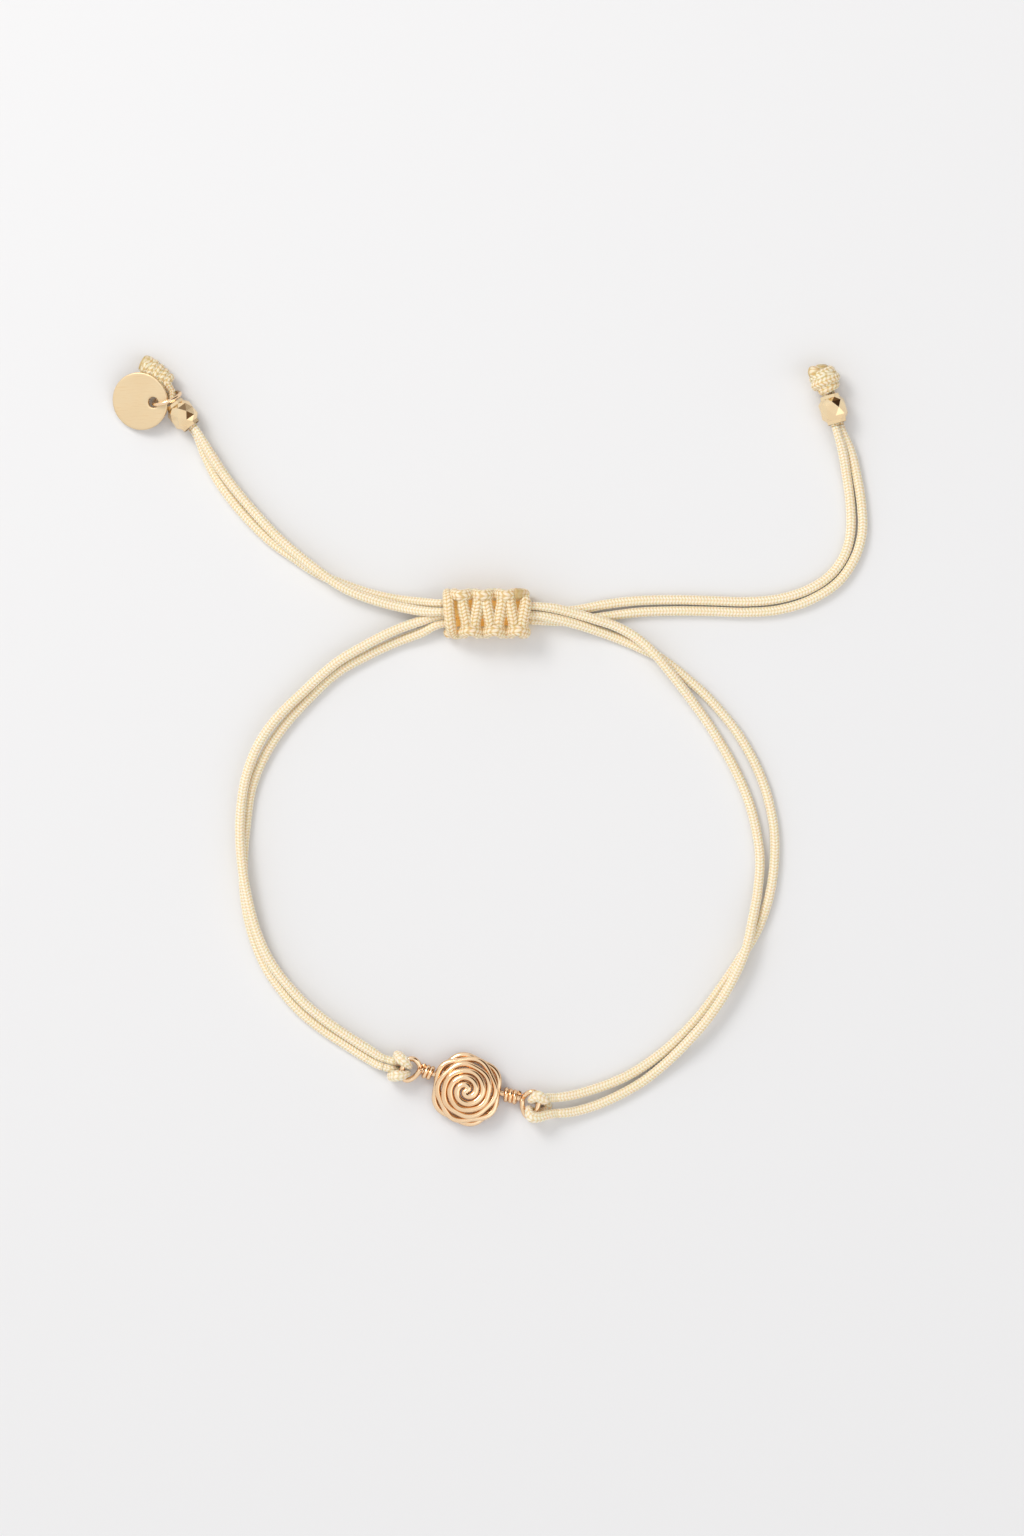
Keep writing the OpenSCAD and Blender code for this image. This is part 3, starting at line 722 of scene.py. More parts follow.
RIGHT_OVER_ROWS = cord_rows(
    (KNOT_LEFT, 26.98, 1.9), (-2.2, 26.85, 2.15), (KNOT_RIGHT, 26.7, 2.28), (5, 26.45, 2.05),
    (7.4, 25.85, 1.7), (9.5, 25.25, 1.62), (11.6, 24.55, 1.4), (13.7, 23.4, 1.4),
    (15.7, 21.65, 1.62), (17.5, 19.5, 1.4), (19.6, 16.8, 0.9), (22, 13.4), (24.4, 9.2),
    (26.1, 5), (27, 0.3), (26.8, -3.6, 0.8), (26.2, -6.8, 1.4), (25.4, -10.2, 1.62),
    (23.7, -13.9, 1.62), (21.7, -17, 1.55), (19.6, -19.5, 1.35), (17, -22.1, 0.8),
    (14.2, -24.3), (10.6, -26.2), (7.6, -27.2, 0.7))
RIGHT_UNDER_ROWS = cord_rows(
    (KNOT_LEFT, 26.06, HIGH), (-2.2, 25.9, HIGH), (KNOT_RIGHT, 25.75, HIGH), (5, 25.35, 1.95),
    (7.4, 24.75, 1.5), (9.5, 24.1, 0.95), (11.6, 23.35), (13.9, 22.4), (16.5, 21.1),
    (19.1, 19.1), (22, 16.4), (25, 12.6), (27.2, 8.3), (28.4, 3.9), (28.6, 0), (28.1, -4),
    (26.9, -7.6), (25.1, -10.7), (22.9, -14), (20.4, -17.3), (17.2, -20.5), (13.2, -23.3),
    (9, -25, 0.6))
LEFT_TAIL_OVER_ROWS = cord_rows(
    (KNOT_LEFT, 26.06, HIGH), (-9, 26.15, 1.95), (-11.5, 26.6, 1.4), (-14.3, 27.35, 1.4),
    (-17, 28.4, 1.55), (-19.4, 29.9, 1.6), (-22, 31.9, 1.5), (-24.3, 33.9, 1.25),
    (-26.4, 36.1, 1.15), (-28.3, 38.3, 1.15), (-30.1, 40.6, 1.3), (-31.6, 42.9, 1.65))
LEFT_TAIL_UNDER_ROWS = cord_rows(
    (KNOT_LEFT, 26.98, 1.9), (-9, 27.1, 1.1), (-11.5, 27.4), (-14.2, 27.95), (-17.2, 28.95),
    (-20.2, 30.2), (-22.8, 31.9), (-25.2, 33.6), (-27.4, 35.7), (-29.3, 37.9), (-31, 40.3),
    (-32.2, 42.7, 0.65))
RIGHT_TAIL_INNER_ROWS = cord_rows(
    (KNOT_RIGHT, 26.2, LOW), (5, 26.2, 0.8), (7.4, 26.3), (10.5, 26.9), (14, 27.3), (18, 27.4),
    (22, 27.3), (25.7, 27.2), (29, 27.5), (32, 28.4), (34.4, 29.9), (36, 32), (36.7, 34.5),
    (36.7, 37.5), (36.3, 40.6, 0.7), (35.8, 43.3, 1.3))
RIGHT_TAIL_OUTER_ROWS = cord_rows(
    (KNOT_RIGHT, 25.15, LOW), (5, 25.1, 0.8), (7.4, 25.15), (10.5, 25.6), (14, 26.05),
    (18, 26.2), (22, 26.15), (25.7, 26.05), (29.2, 26.35), (32.5, 27.4), (35.3, 29.2),
    (37.1, 31.7), (37.95, 34.5), (37.9, 37.5), (37.4, 40.6), (36.7, 43.3, 0.75))


@dataclass(frozen=True)
class Hitch(Piece):
    """Doubled cord looped through an eye of the wire. Half of its run is stored:
    u away from the rose from the eye's outer wire, v across, z, radius.
    """

    name: str
    bar: tuple[float, float]
    leave: float
    run: tuple[Row, ...]
    slot = Slot.CORD

    def row(self, row: Row, side: int) -> Row:
        """Place a row of the run.

        Args:
            row: The row of u, v, z, radius.
            side: 1 or -1 for the half that it belongs to.

        Returns:
            The row as x, y, z, radius.
        """
        inner = ROSE_SLOPE + (180.0 if self.bar[0] < 0 else 0.0)
        eye = np.array(ROSE_AT) + turned(*self.bar, ROSE_SLOPE)
        angle = self.leave if row[0] > EYE_REACH else inner
        x, y = eye + turned(row[0], side * row[1], angle)
        return (x, y, row[2], row[3])

    def end(self, side: int) -> Row:
        """Row where a strand of the loop meets this hitch."""
        return self.row((self.run[0][0] + HITCH_GAP, *self.run[0][1:]), side)

    def fill(self, shell: Shell) -> None:
        """Add the looped cord.

        Args:
            shell: The mesh to fill.
        """
        half = [self.row(row, 1) for row in self.run]
        other = [self.row(row, -1) for row in reversed(self.run[:-1])]
        away = flat_dir(self.leave)
        shell.tube(smooth(half + other, -away, away, BRAID.step), braid=BRAID)


@dataclass(frozen=True)
class BeadPlace:
    """Where a bead lies: its middle, its direction to the end knot and its height, and how
    far across and up from the middle of its hole each of its two cords runs.
    """

    x: float
    y: float
    turn: float
    cords: tuple[Row, ...] = ()
    z: float = 1.5
    mouth: float = 1.85

    def row(self, s: float, n: float, z: float, radius: float) -> Row:
        """Row of a cord at s along the bead's hole and n across it."""
        x, y = np.array([self.x, self.y]) + turned(s, n, self.turn)
        return (x, y, z, radius)

    def cord_row(self, which: int, s: float, radius: float = BEAD_CORD_R) -> Row:
        """Row of one of the bead's own cords at s along its hole."""
        across, rise = self.cords[which]
        return self.row(s, across, self.z + rise, radius)


LEFT_HITCH = Hitch("left_hitch", (-7.24, 0.3), 164.0, (
    (2.0, 0.45, 1.25, 0.42), (1.15, 0.43, 1.28, 0.4), (0.6, 0.42, 0.72, 0.37),
    (-0.1, 0.4, 0.32, 0.31), (-0.7, 0.35, 1.1, 0.28), (-0.58, 0.48, 1.9, 0.38),
    (-0.12, 0.74, 2.2, 0.54), (0.35, 0.92, 2.1, 0.6), (0.78, 1.15, 1.5, 0.54),
    (0.95, 1.12, 0.75, 0.42), (0.9, 0.6, 0.41, 0.4), (0.9, 0.0, 0.41, 0.4)))
RIGHT_HITCH = Hitch("right_hitch", (7.8, 0.3), 4.0, (
    (2.0, 0.85, 1.2, 0.5), (1.1, 0.9, 1.6, 0.5), (0.4, 1.0, 2.05, 0.56),
    (-0.35, 1.1, 2.2, 0.64), (-0.86, 0.6, 1.97, 0.4), (-0.78, 0.41, 1.2, 0.32),
    (-0.1, 0.6, 0.35, 0.34), (0.8, 0.45, 0.45, 0.44), (1.1, 0.0, 0.45, 0.44)))
LEFT_BEAD = BeadPlace(-34.6, 47.1, 128.0, ((-0.12, 0.41), (0.12, -0.43)))
RIGHT_BEAD = BeadPlace(34.8, 47.7, 106.0, ((0.31, 0.32), (-0.31, -0.32)))


@dataclass
class Strand(Piece):
    """One run of braided cord from the sliding knot to a hitch or a bead."""

    name: str
    rows: list[Row]
    last: Row
    start_dir: Row
    end_dir: Row
    tail: bool = False
    path: np.ndarray = field(init=False)
    slot = Slot.CORD

    def __post_init__(self) -> None:
        """Work out the route."""
        self.path = smooth([*self.rows, self.last], self.start_dir, self.end_dir, BRAID.step)

    def fill(self, shell: Shell) -> None:
        """Add the cord."""
        shell.tube(self.path, braid=BRAID, depth=self.depth)

    @staticmethod
    def depth(points: np.ndarray) -> np.ndarray:
        """How deep in the sliding knot points of the strand lie, which sets their painted warm
        shade and glow.

        Args:
            points: The points.

        Returns:
            1 inside the knot and 0 outside it.
        """
        x = points[..., 0]
        inside = np.minimum(x - (KNOT_LEFT + KNOT_LIP), KNOT_RIGHT - KNOT_LIP - x)
        return np.clip(inside / KNOT_FADE, 0, 1) * (points[..., 1] > KNOT_NEAR_Y)

    def declare(self, piece: bpy.types.Object, pieces: list[bpy.types.Object]) -> None:
        """Work out the strand's route and its length, which nothing keeps.

        Args:
            piece: The strand's object; not used.
            pieces: The pieces on its far end.
        """
        path = self.path if self.tail else self.path[::-1]
        route = [Vector(row[:3] * MM) for row in [*path[::ROUTE_STEP], path[-1]]]
        length = float(lengths_along(path)[-1]) * MM
        tuple(route[0])
        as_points(route)
        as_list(pieces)


@dataclass(frozen=True)
class SlidingKnot(Piece):
    """Knot of one working cord that zigzags over and under the four strands."""

    middle_y: float = 25.9
    half_width: float = 2.3
    radius: float = 0.49
    bar_radius: float = 0.66
    arch_radius: float = 0.6
    first_bar: float = -4.5
    first_arch: float = -4.85
    pitch: float = 1.26
    bars: int = 6
    lean: float = 0.18
    bar_end: float = 1.15
    bar_drop: float = 0.15
    shoulder: float = 1.85
    shoulder_x: float = 0.5
    shoulder_drop: float = 0.8
    reach: float = 2.2
    turn_drop: float = 1.65
    under_y: float = 1.4
    under_gap: float = 0.02
    deep_z: float = 3.35
    deep_fade: float = 0.8
    wrap_end: float = -5.75
    wrap_fade: float = 0.3
    first_wrap: tuple[Row, ...] = (
        (-6.1, -2.15, 1.3, 0.49), (-6.2, -1.4, 0.5, 0.49), (-6.25, 1.1, 0.5, 0.49),
        (-6.35, 2.1, 1.4, 0.49), (-6.3, 2.0, 2.5, 0.54), (-6.22, 1.1, 3.3, 0.6),
        (-6.12, -0.2, 3.42, 0.6), (-5.98, -1.3, 3.17, 0.6), (-5.75, -2.1, 2.35, 0.54),
        (-5.2, -2.25, 1.7, 0.49), (-4.7, -2.05, 2.5, 0.49))
    name = "sliding_knot"
    slot = Slot.KNOT

    @property
    def top(self) -> float:
        """Height of the middle of the bars."""
        return HIGH + CORE_R + self.bar_radius + KNOT_GAP

    def row(self, x: float, y: float, z: float, radius: float | None = None) -> Row:
        """Row of the working cord, y measured from the middle of the knot."""
        return (x, self.middle_y + y, z, radius or self.radius)

    def bar_x(self, i: int) -> float:
        """Place of a bar along the knot."""
        return self.first_bar + self.pitch * i

    def upper(self) -> list[Row]:
        """Rows of the cord that makes the first wrap and the bars on top.

        Returns:
            The rows.
        """
        top, wide = self.top, self.arch_radius
        rows = [self.row(*p) for p in self.first_wrap]
        for i in range(self.bars):
            way = -1 if i % 2 == 0 else 1
            x = self.bar_x(i)
            end, low = way * self.bar_end, top - self.bar_drop
            rows += [self.row(x + self.lean, end, low, wide),
                     self.row(x, 0.0, top, self.bar_radius),
                     self.row(x - self.lean, -end, low, wide)]
            if i < self.bars - 1:
                x += self.pitch / 2
                side, low = -way * self.shoulder, top - self.shoulder_drop
                rows += [self.row(x - self.shoulder_x, side, low),
                         self.row(x, -way * self.reach, top - self.turn_drop),
                         self.row(x + self.shoulder_x, side, low)]
        x = self.bar_x(self.bars - 1)
        return [*rows, self.row(x + 0.1, -self.shoulder, top - 0.7),
                self.row(x - 0.2, -self.reach, top - self.turn_drop),
                self.row(x - 0.3, -2.0, 1.2)]

    def arch(self, x: float, side: int) -> list[Row]:
        """Rows of the lower cord where it comes up and over a turn of the upper one.

        Args:
            x: The arch's place along the knot.
            side: The side of the strands that it stands at, 1 or -1.

        Returns:
            The rows.
        """
        wide = self.arch_radius
        return [self.row(x + dx, side * y, z, radius) for dx, y, z, radius in (
            (-0.7, 2.15, 1.4, self.radius), (-0.74, 2.0, 2.85, wide),
            (0.0, 1.86, self.top + 0.2, wide), (0.74, 2.0, 2.85, wide),
            (0.7, 2.15, 1.4, self.radius))]

    def lower(self) -> list[Row]:
        """Rows of the cord that passes beneath and arches over the bars' turns.

        Returns:
            The rows.
        """
        rows = [self.row(-5.3, -0.8, 0.5), self.row(-5.35, 1.1, 0.5),
                *self.arch(self.first_arch, 1)]
        under = self.radius + self.under_gap
        for i in range(self.bars):
            way = 1 if i % 2 == 0 else -1
            rows += [self.row(self.bar_x(i), way * self.under_y, under),
                     self.row(self.bar_x(i), -way * self.under_y, under)]
            if i < self.bars - 1:
                rows += self.arch(self.bar_x(i) + self.pitch / 2, -way)
        x = self.bar_x(self.bars - 1)
        return [*rows, self.row(x + 0.1, 2.1, 1.4), self.row(x + 0.1, 2.1, 2.5),
                self.row(x - 0.25, 2.1, 3.15, 0.56), self.row(x - 0.85, 2.05, 3.4, 0.62)]

    def depth(self, points: np.ndarray) -> np.ndarray:
        """How deep in the knot points of the working cord lie, which sets its painted warm shade
        and glow.

        Args:
            points: The points.

        Returns:
            0 on top, rising to 1 beneath the bars.
        """
        x, y, z = np.moveaxis(points, -1, 0)
        low = np.clip((self.deep_z - z) / self.deep_fade, 0, 1)
        past_first_wrap = np.clip((x - self.wrap_end) / self.wrap_fade, 0, 1)
        from_side = self.half_width - np.abs(y - self.middle_y)
        return low * past_first_wrap * np.clip(from_side / KNOT_FADE, 0, 1)

    def fill(self, shell: Shell) -> None:
        """Add the upper and the lower run of the cord.

        Args:
            shell: The mesh to fill.
        """
        upper = smooth(self.upper(), WEST, WEST, BRAID.step)
        lower = smooth(self.lower(), EAST, WEST, BRAID.step)
        shell.tube(dome_rows(upper, True, 0.2), braid=BRAID, depth=self.depth)
        shell.tube(dome_rows(lower, False, 0.25), braid=BRAID, melted=0.8, depth=self.depth)


@dataclass(frozen=True)
class Winding:
    """Turns of a cord round another, swelling from a narrow radius to a wide one and back."""

    start: float
    lead: float
    turns: float
    narrow: float
    wide: float
    angle: float
    cord_r: float
    steps: int = 8

    def rows(self, place: BeadPlace, height: float) -> list[Row]:
        """Rows of the winding cord.

        Args:
            place: The frame along the wound cord.
            height: Height of the middle of the wound cord.

        Returns:
            The rows.
        """
        last = round(self.turns * self.steps)
        found = []
        for i in range(last + 1):
            a = math.radians(self.angle + 360 / self.steps * i)
            wind = self.narrow + (self.wide - self.narrow) * math.sin(math.pi * i / last)
            found.append(place.row(self.start + self.lead * i / self.steps, wind * math.cos(a),
                                   height + wind * math.sin(a), self.cord_r))
        return found


@dataclass(frozen=True)
class EndKnot(Piece):
    """Knot that stops a bead: one cord wound tightly round the other, with melted tips."""

    name: str
    wound: list[Row]
    core: list[Row]
    start_dir: Row
    slot = Slot.KNOT

    def fill(self, shell: Shell) -> None:
        """Add the winding cord and the one inside it.

        Args:
            shell: The mesh to fill.
        """
        for rows in (self.wound, self.core):
            away = np.subtract(rows[-1][:3], rows[-2][:3])
            path = smooth(rows, self.start_dir, away, BRAID.step)
            shell.tube(dome_rows(path, False, 0.2), braid=BRAID, melted=0.35)


def right_end_knot() -> EndKnot:
    """Round knot above the right bead.

    Returns:
        The knot.
    """
    bead, high = RIGHT_BEAD, 1.72
    winding = Winding(start=2.2, lead=0.76, turns=2.75, narrow=0.6, wide=1.14, angle=30.0,
                      cord_r=0.55)
    first = MOUTH_GAP - bead.mouth
    wound = [bead.cord_row(0, first), bead.cord_row(0, 1.6), *winding.rows(bead, high),
             bead.row(4.3, 0.75, high + 0.55, 0.62), bead.row(4.4, 1.15, high + 0.4, 0.66)]
    core = [bead.cord_row(1, first), bead.cord_row(1, 1.6),
            bead.row(2.5, 0.0, high, 0.9), bead.row(2.8, 0.0, high, 1.3),
            bead.row(3.6, 0.0, high, 1.5), bead.row(4.3, 0.0, high, 1.2),
            bead.row(4.75, -0.1, high + 0.1, 0.65)]
    return EndKnot("right_end_knot", wound, core, flat_dir(bead.turn))


def left_end_knot() -> EndKnot:
    """Longer knot past the jump ring.

    Returns:
        The knot.
    """
    bead, far, low = LEFT_BEAD, BeadPlace(-36.0, 50.2, 138.0), 1.26
    winding = Winding(start=0.45, lead=0.7, turns=4.0, narrow=0.62, wide=0.74, angle=90.0,
                      cord_r=0.5)
    first, radius = MOUTH_GAP - bead.mouth, winding.cord_r
    wound = [bead.cord_row(0, first), bead.cord_row(0, 1.65, NECK_CORD_R),
             far.row(-0.6, 0.3, low + 0.46, NECK_CORD_R), *winding.rows(far, low),
             far.row(3.6, -0.5, low + 0.1, radius)]
    core = [bead.cord_row(1, first), bead.cord_row(1, 1.65, NECK_CORD_R),
            far.row(-0.6, 0.5, low - 0.22, NECK_CORD_R), far.row(0.4, 0.0, low, radius),
            far.row(1.1, 0.0, low, 1.02), far.row(3.3, 0.0, low, 1.06),
            far.row(3.85, 0.1, low, 0.85)]
    return EndKnot("left_end_knot", wound, core, flat_dir(bead.turn))


# Wire, beads and tag

@dataclass(frozen=True)
class RoseWire(Piece):
    """Wire stated in the rose's own frame, with rounded ends."""

    name: str
    rows: list[Row]
    tip: float
    first: Row = UP

    def fill(self, shell: Shell) -> None:
        """Add the wire, turned from the rose's own frame into the bracelet's.

        Args:
            shell: The mesh to fill.
        """
        table = np.array(self.rows, dtype=float)
        a = math.radians(ROSE_SLOPE)
        spin = np.array([[math.cos(a), -math.sin(a)], [math.sin(a), math.cos(a)]])
        table[:, :2] = table[:, :2] @ spin.T + np.array(ROSE_AT)
        path = dome_rows(dome_rows(table, False, self.tip), True, self.tip)
        # The wire's sides and underside get painted shade
        shell.tube(path, self.first, flanks=True)


@dataclass(frozen=True)
class Rose:
    """Rose of one gold wire wound out from its eye in two arms, over a straight stem."""

    wire_r: float = 0.34
    eye_wire_r: float = 0.28
    rim_r: float = 3.4
    turns: float = 2.3
    rim_turns: float = 0.57
    left_cut: float = 0.034
    growth: float = 0.8
    dome: float = 1.7
    rim_z: float = 1.68
    rim_drop: float = 0.85
    rim_spread: float = 0.12
    lobe: float = 0.055
    lobes: int = 5
    lobe_at: float = 80.0
    start: float = 36.0
    first_step: int = 4
    hole_r: float = 0.1
    steps: int = 72
    stem_z: float = 0.8
    stem_ends: tuple[float, float] = (-5.1, 5.6)
    stem_rows: int = 22
    neck_y: float = 0.6
    eye_z: float = 1.2
    eye_end_z: float = 1.44
    eye_tip: float = 0.45
    eye_turn: float = 350.0
    eye_steps: int = 64
    eye_rise_steps: int = 12
    coil_share: float = 0.86
    coil_gap: float = 0.03
    coil_start: float = 4.08
    coil_pitch: float = 0.48
    coil_steps: int = 36

    def arm(self, side: int, turns: float) -> list[Row]:
        """Rows of one arm, from the eye of the rose out to its rim and under the other arm.

        Args:
            side: 1 for the arm that ends at the right neck and -1 for the left.
            turns: How many turns it makes.

        Returns:
            The rows.
        """
        rows = []
        for i in range(self.first_step, round(turns * self.steps) + 1):
            turn = i / self.steps
            angle = 360 * turn + self.start
            a = math.radians(angle)
            share = min(1.0, turn / self.turns)
            late = max(0.0, (turn - self.turns) / self.rim_turns)
            bulge = math.cos(math.radians(self.lobes * (angle - self.lobe_at)))
            grown = self.hole_r + (self.rim_r - self.hole_r) * share ** self.growth
            r = side * (grown * (1 + self.lobe * share ** 2 * bulge) + self.rim_spread * late)
            z = self.rim_z + self.dome * (1 - share ** 2) - self.rim_drop * late
            rows.append((r * math.cos(a), r * math.sin(a), z, self.wire_r))
        return rows

    def wound(self) -> list[Row]:
        """Rows of the rose's wire, from the end of its left arm to that of its right one.

        Returns:
            The rows.
        """
        turns = self.turns + self.rim_turns
        middle = (0.0, 0.0, self.rim_z + self.dome, self.wire_r)
        return [*reversed(self.arm(-1, turns - self.left_cut)), middle, *self.arm(1, turns)]

    def eye_ring(self, middle: Row, half: Row, start: float, toward: int) -> list[Row]:
        """Rows of the eye at one end of the stem, which closes over where it began.

        Args:
            middle: The eye's middle.
            half: Half of its length and of its width.
            start: The angle at which the stem enters it.
            toward: 1 at the right and -1 at the left.

        Returns:
            The rows.
        """
        rows = []
        for i in range(self.eye_steps + 1):
            a = math.radians(start + self.eye_turn * i / self.eye_steps)
            neck = (self.neck_y - middle[1]) * ((1 + math.cos(a)) / 2) ** 2
            wide = half[1] * abs(math.sin(a / 2)) ** self.eye_tip
            left = self.eye_steps - i
            rise = (self.eye_z - self.stem_z) * min(1.0, i / self.eye_rise_steps)
            last = (self.eye_end_z - self.eye_z) * max(0.0, 1 - left / self.eye_rise_steps)
            rows.append((middle[0] - toward * half[0] * math.cos(a),
                         middle[1] + neck + wide * math.sin(a), self.stem_z + rise + last,
                         self.eye_wire_r))
        return rows

    def eyelets(self) -> list[Row]:
        """Rows of the wire that runs under the rose from eye to eye.

        Returns:
            The rows.
        """
        left = self.eye_ring((-6.3, 0.3), half=(0.94, 1.35), start=15.0, toward=-1)
        right = self.eye_ring((6.9, 0.3), half=(0.9, 1.55), start=12.0, toward=1)
        stem = [(x, self.neck_y, self.stem_z, self.eye_wire_r)
                for x in np.linspace(*self.stem_ends, self.stem_rows)]
        return [*reversed(left), *stem, *right]

    def coil(self, toward: int, turns: int) -> list[Row]:
        """Rows of the wire wrapped round one neck.

        Args:
            toward: 1 at the right and -1 at the left.
            turns: How many turns it makes.

        Returns:
            The rows.
        """
        wire = self.eye_wire_r * self.coil_share
        radius = self.eye_wire_r + wire + self.coil_gap
        rows = []
        for i in range(turns * self.coil_steps + 1):
            turn = i / self.coil_steps
            a = math.radians(360 * turn)
            rows.append((toward * (self.coil_start + self.coil_pitch * turn),
                         self.neck_y + radius * math.cos(a), self.stem_z + radius * math.sin(a),
                         wire))
        return rows


@dataclass(frozen=True)
class FacetedBead(Piece):
    """Gold bead with rows of flat facets and a drilled hole."""

    name: str
    place: BeadPlace
    diameter: float = 2.96
    length: float = 3.1
    bore: float = 1.9
    sides: int = 8
    rows: tuple[Row, ...] = (
        (-1.0, 0.72, 0.0), (-0.78, 0.74, 0.0), (-0.5, 0.95, 0.5), (0.0, 1.0, 0.0),
        (0.5, 0.95, 0.5), (0.78, 0.74, 0.0), (1.0, 0.72, 0.0))
    slot = Slot.BEAD
    flat = True

    def ring(self, x: float, radius: float, turn: float, count: int) -> np.ndarray:
        """Points of one row, turned by a share of a facet, in the bead's own frame."""
        a = 2 * math.pi * (np.arange(count) + turn + 0.5 * count / self.sides) / count
        return np.stack([np.full(count, x), radius * np.cos(a), radius * np.sin(a)], axis=1)

    def fill(self, shell: Shell) -> None:
        """Add the facets, the flat ends and the hole.

        Args:
            shell: The mesh to fill.
        """
        radius, half = self.diameter / 2, self.length / 2
        wide = 2 * self.sides
        rows = [self.ring(s * half, share * radius, turn, self.sides)
                for s, share, turn in self.rows]
        bore = [self.ring(s * half, self.bore / 2, 0.0, wide) for s in (1.0, -1.0)]
        place = self.place
        shell.add(np.vstack(rows + bore) @ rotation(("Z", place.turn)).T
                  + np.array([place.x, place.y, place.z]))
        for i in range(len(rows) - 1):
            turn, next_turn = self.rows[i][2], self.rows[i + 1][2]
            for k in range(self.sides):
                a, b = i * self.sides + k, i * self.sides + (k + 1) % self.sides
                c, d = a + self.sides, b + self.sides
                if next_turn == turn:
                    shell.faces.append((a, b, d, c))
                elif next_turn > turn:
                    shell.faces += [(a, b, c), (b, d, c)]
                else:
                    shell.faces += [(a, b, d), (a, d, c)]
        start = len(rows) * self.sides
        for k in range(wide):
            k2 = (k + 1) % wide
            shell.faces.append((start + k, start + k2, start + wide + k2, start + wide + k))
        self.close_end(shell, start - self.sides, start, False)
        self.close_end(shell, 0, start + wide, True)

    def close_end(self, shell: Shell, outer: int, inner: int, back: bool) -> None:
        """Close the flat ring between the bead's last row and its bore.

        Args:
            shell: The mesh.
            outer: The first point of the bead's last row.
            inner: The first point of the bore's row.
            back: Whether the ring faces the other way.
        """
        for k in range(self.sides):
            o, o2 = outer + k, outer + (k + 1) % self.sides
            a, b, c = (inner + (2 * k + j) % (2 * self.sides) for j in range(3))
            for face in ((o, o2, b), (o, b, a), (o2, c, b)):
                shell.faces.append(tuple(reversed(face)) if back else face)


@dataclass(frozen=True)
class Tag(Piece):
    """Small satin disc with a hole, propped on its jump ring."""

    at: tuple[float, float, float] = (-39.12, 48.57, 1.6)
    tilt: tuple[float, float] = (11.9, -16.8)
    diameter: float = 6.2
    thickness: float = 0.36
    hole: float = 1.16
    hole_at: tuple[float, float] = (1.5, -0.15)
    edge: float = 0.07
    around: int = 96
    name = "tag"
    slot = Slot.SATIN

    def outline(self) -> list[Row]:
        """Rows from the hole over the face, round the rim and back, each as
        share from hole to rim, inset from the edge, and height.

        Returns:
            The rows.
        """
        half = self.thickness / 2
        e = self.edge
        face = [(s, 0.0, half) for s in (0.08, 0.3, 0.5, 0.7, 0.92)]
        rim = [(1.0, e * 2, half), (1.0, e * 0.6, half - e * 0.15), (1.0, 0.0, half - e * 0.8)]
        hole = [(0.0, 0.0, half - e), (0.0, e * 0.4, half - e * 0.2), (0.0, e, half)]
        top = [*hole, *face, *rim]
        return [*top, *((s, inset, -z) for s, inset, z in reversed(top))]

    def fill(self, shell: Shell) -> None:
        """Add the disc.

        Args:
            shell: The mesh to fill.
        """
        a = 2 * math.pi * np.arange(self.around) / self.around
        ring = np.stack([np.cos(a), np.sin(a)], axis=1)
        rows = []
        for share, inset, z in self.outline():
            from_hole = inset if share == 0.0 else self.edge
            from_rim = inset if share == 1.0 else self.edge * 2
            hole = np.array(self.hole_at) + ring * (self.hole / 2 + from_hole)
            rim = ring * (self.diameter / 2 - from_rim)
            flat = hole * (1 - share) + rim * share
            rows.append(np.hstack([flat, np.full((self.around, 1), z)]))
        spin = rotation(("Y", self.tilt[1]), ("X", self.tilt[0]))
        shell.grid((np.array(rows) @ spin.T + np.array(self.at))[::-1], closed=True)


@dataclass(frozen=True)
class JumpRing(Piece):
    """Round wire ring that carries the tag, with its closed cut."""

    at: tuple[float, float, float] = (-36.3, 48.85, 1.65)
    tilt: float = 108.2
    turn: float = -68.8
    radius: float = 1.5
    wire_r: float = 0.21
    cut: float = 40.0
    half_gap: float = 1.5
    points: int = 121
    name = "jump_ring"

    def fill(self, shell: Shell) -> None:
        """Add the ring.

        Args:
            shell: The mesh to fill.
        """
        spin = rotation(("Z", self.turn), ("Y", self.tilt))
        sweep = np.linspace(self.half_gap, 360 - self.half_gap, self.points)
        angles = np.radians(self.cut + sweep)
        flat = np.stack([self.radius * np.cos(angles), self.radius * np.sin(angles),
                         np.zeros_like(angles)], axis=1)
        points = flat @ spin.T + np.array(self.at)
        shell.tube(np.hstack([points, np.full((self.points, 1), self.wire_r)]), spin[:, 2])


# Studio

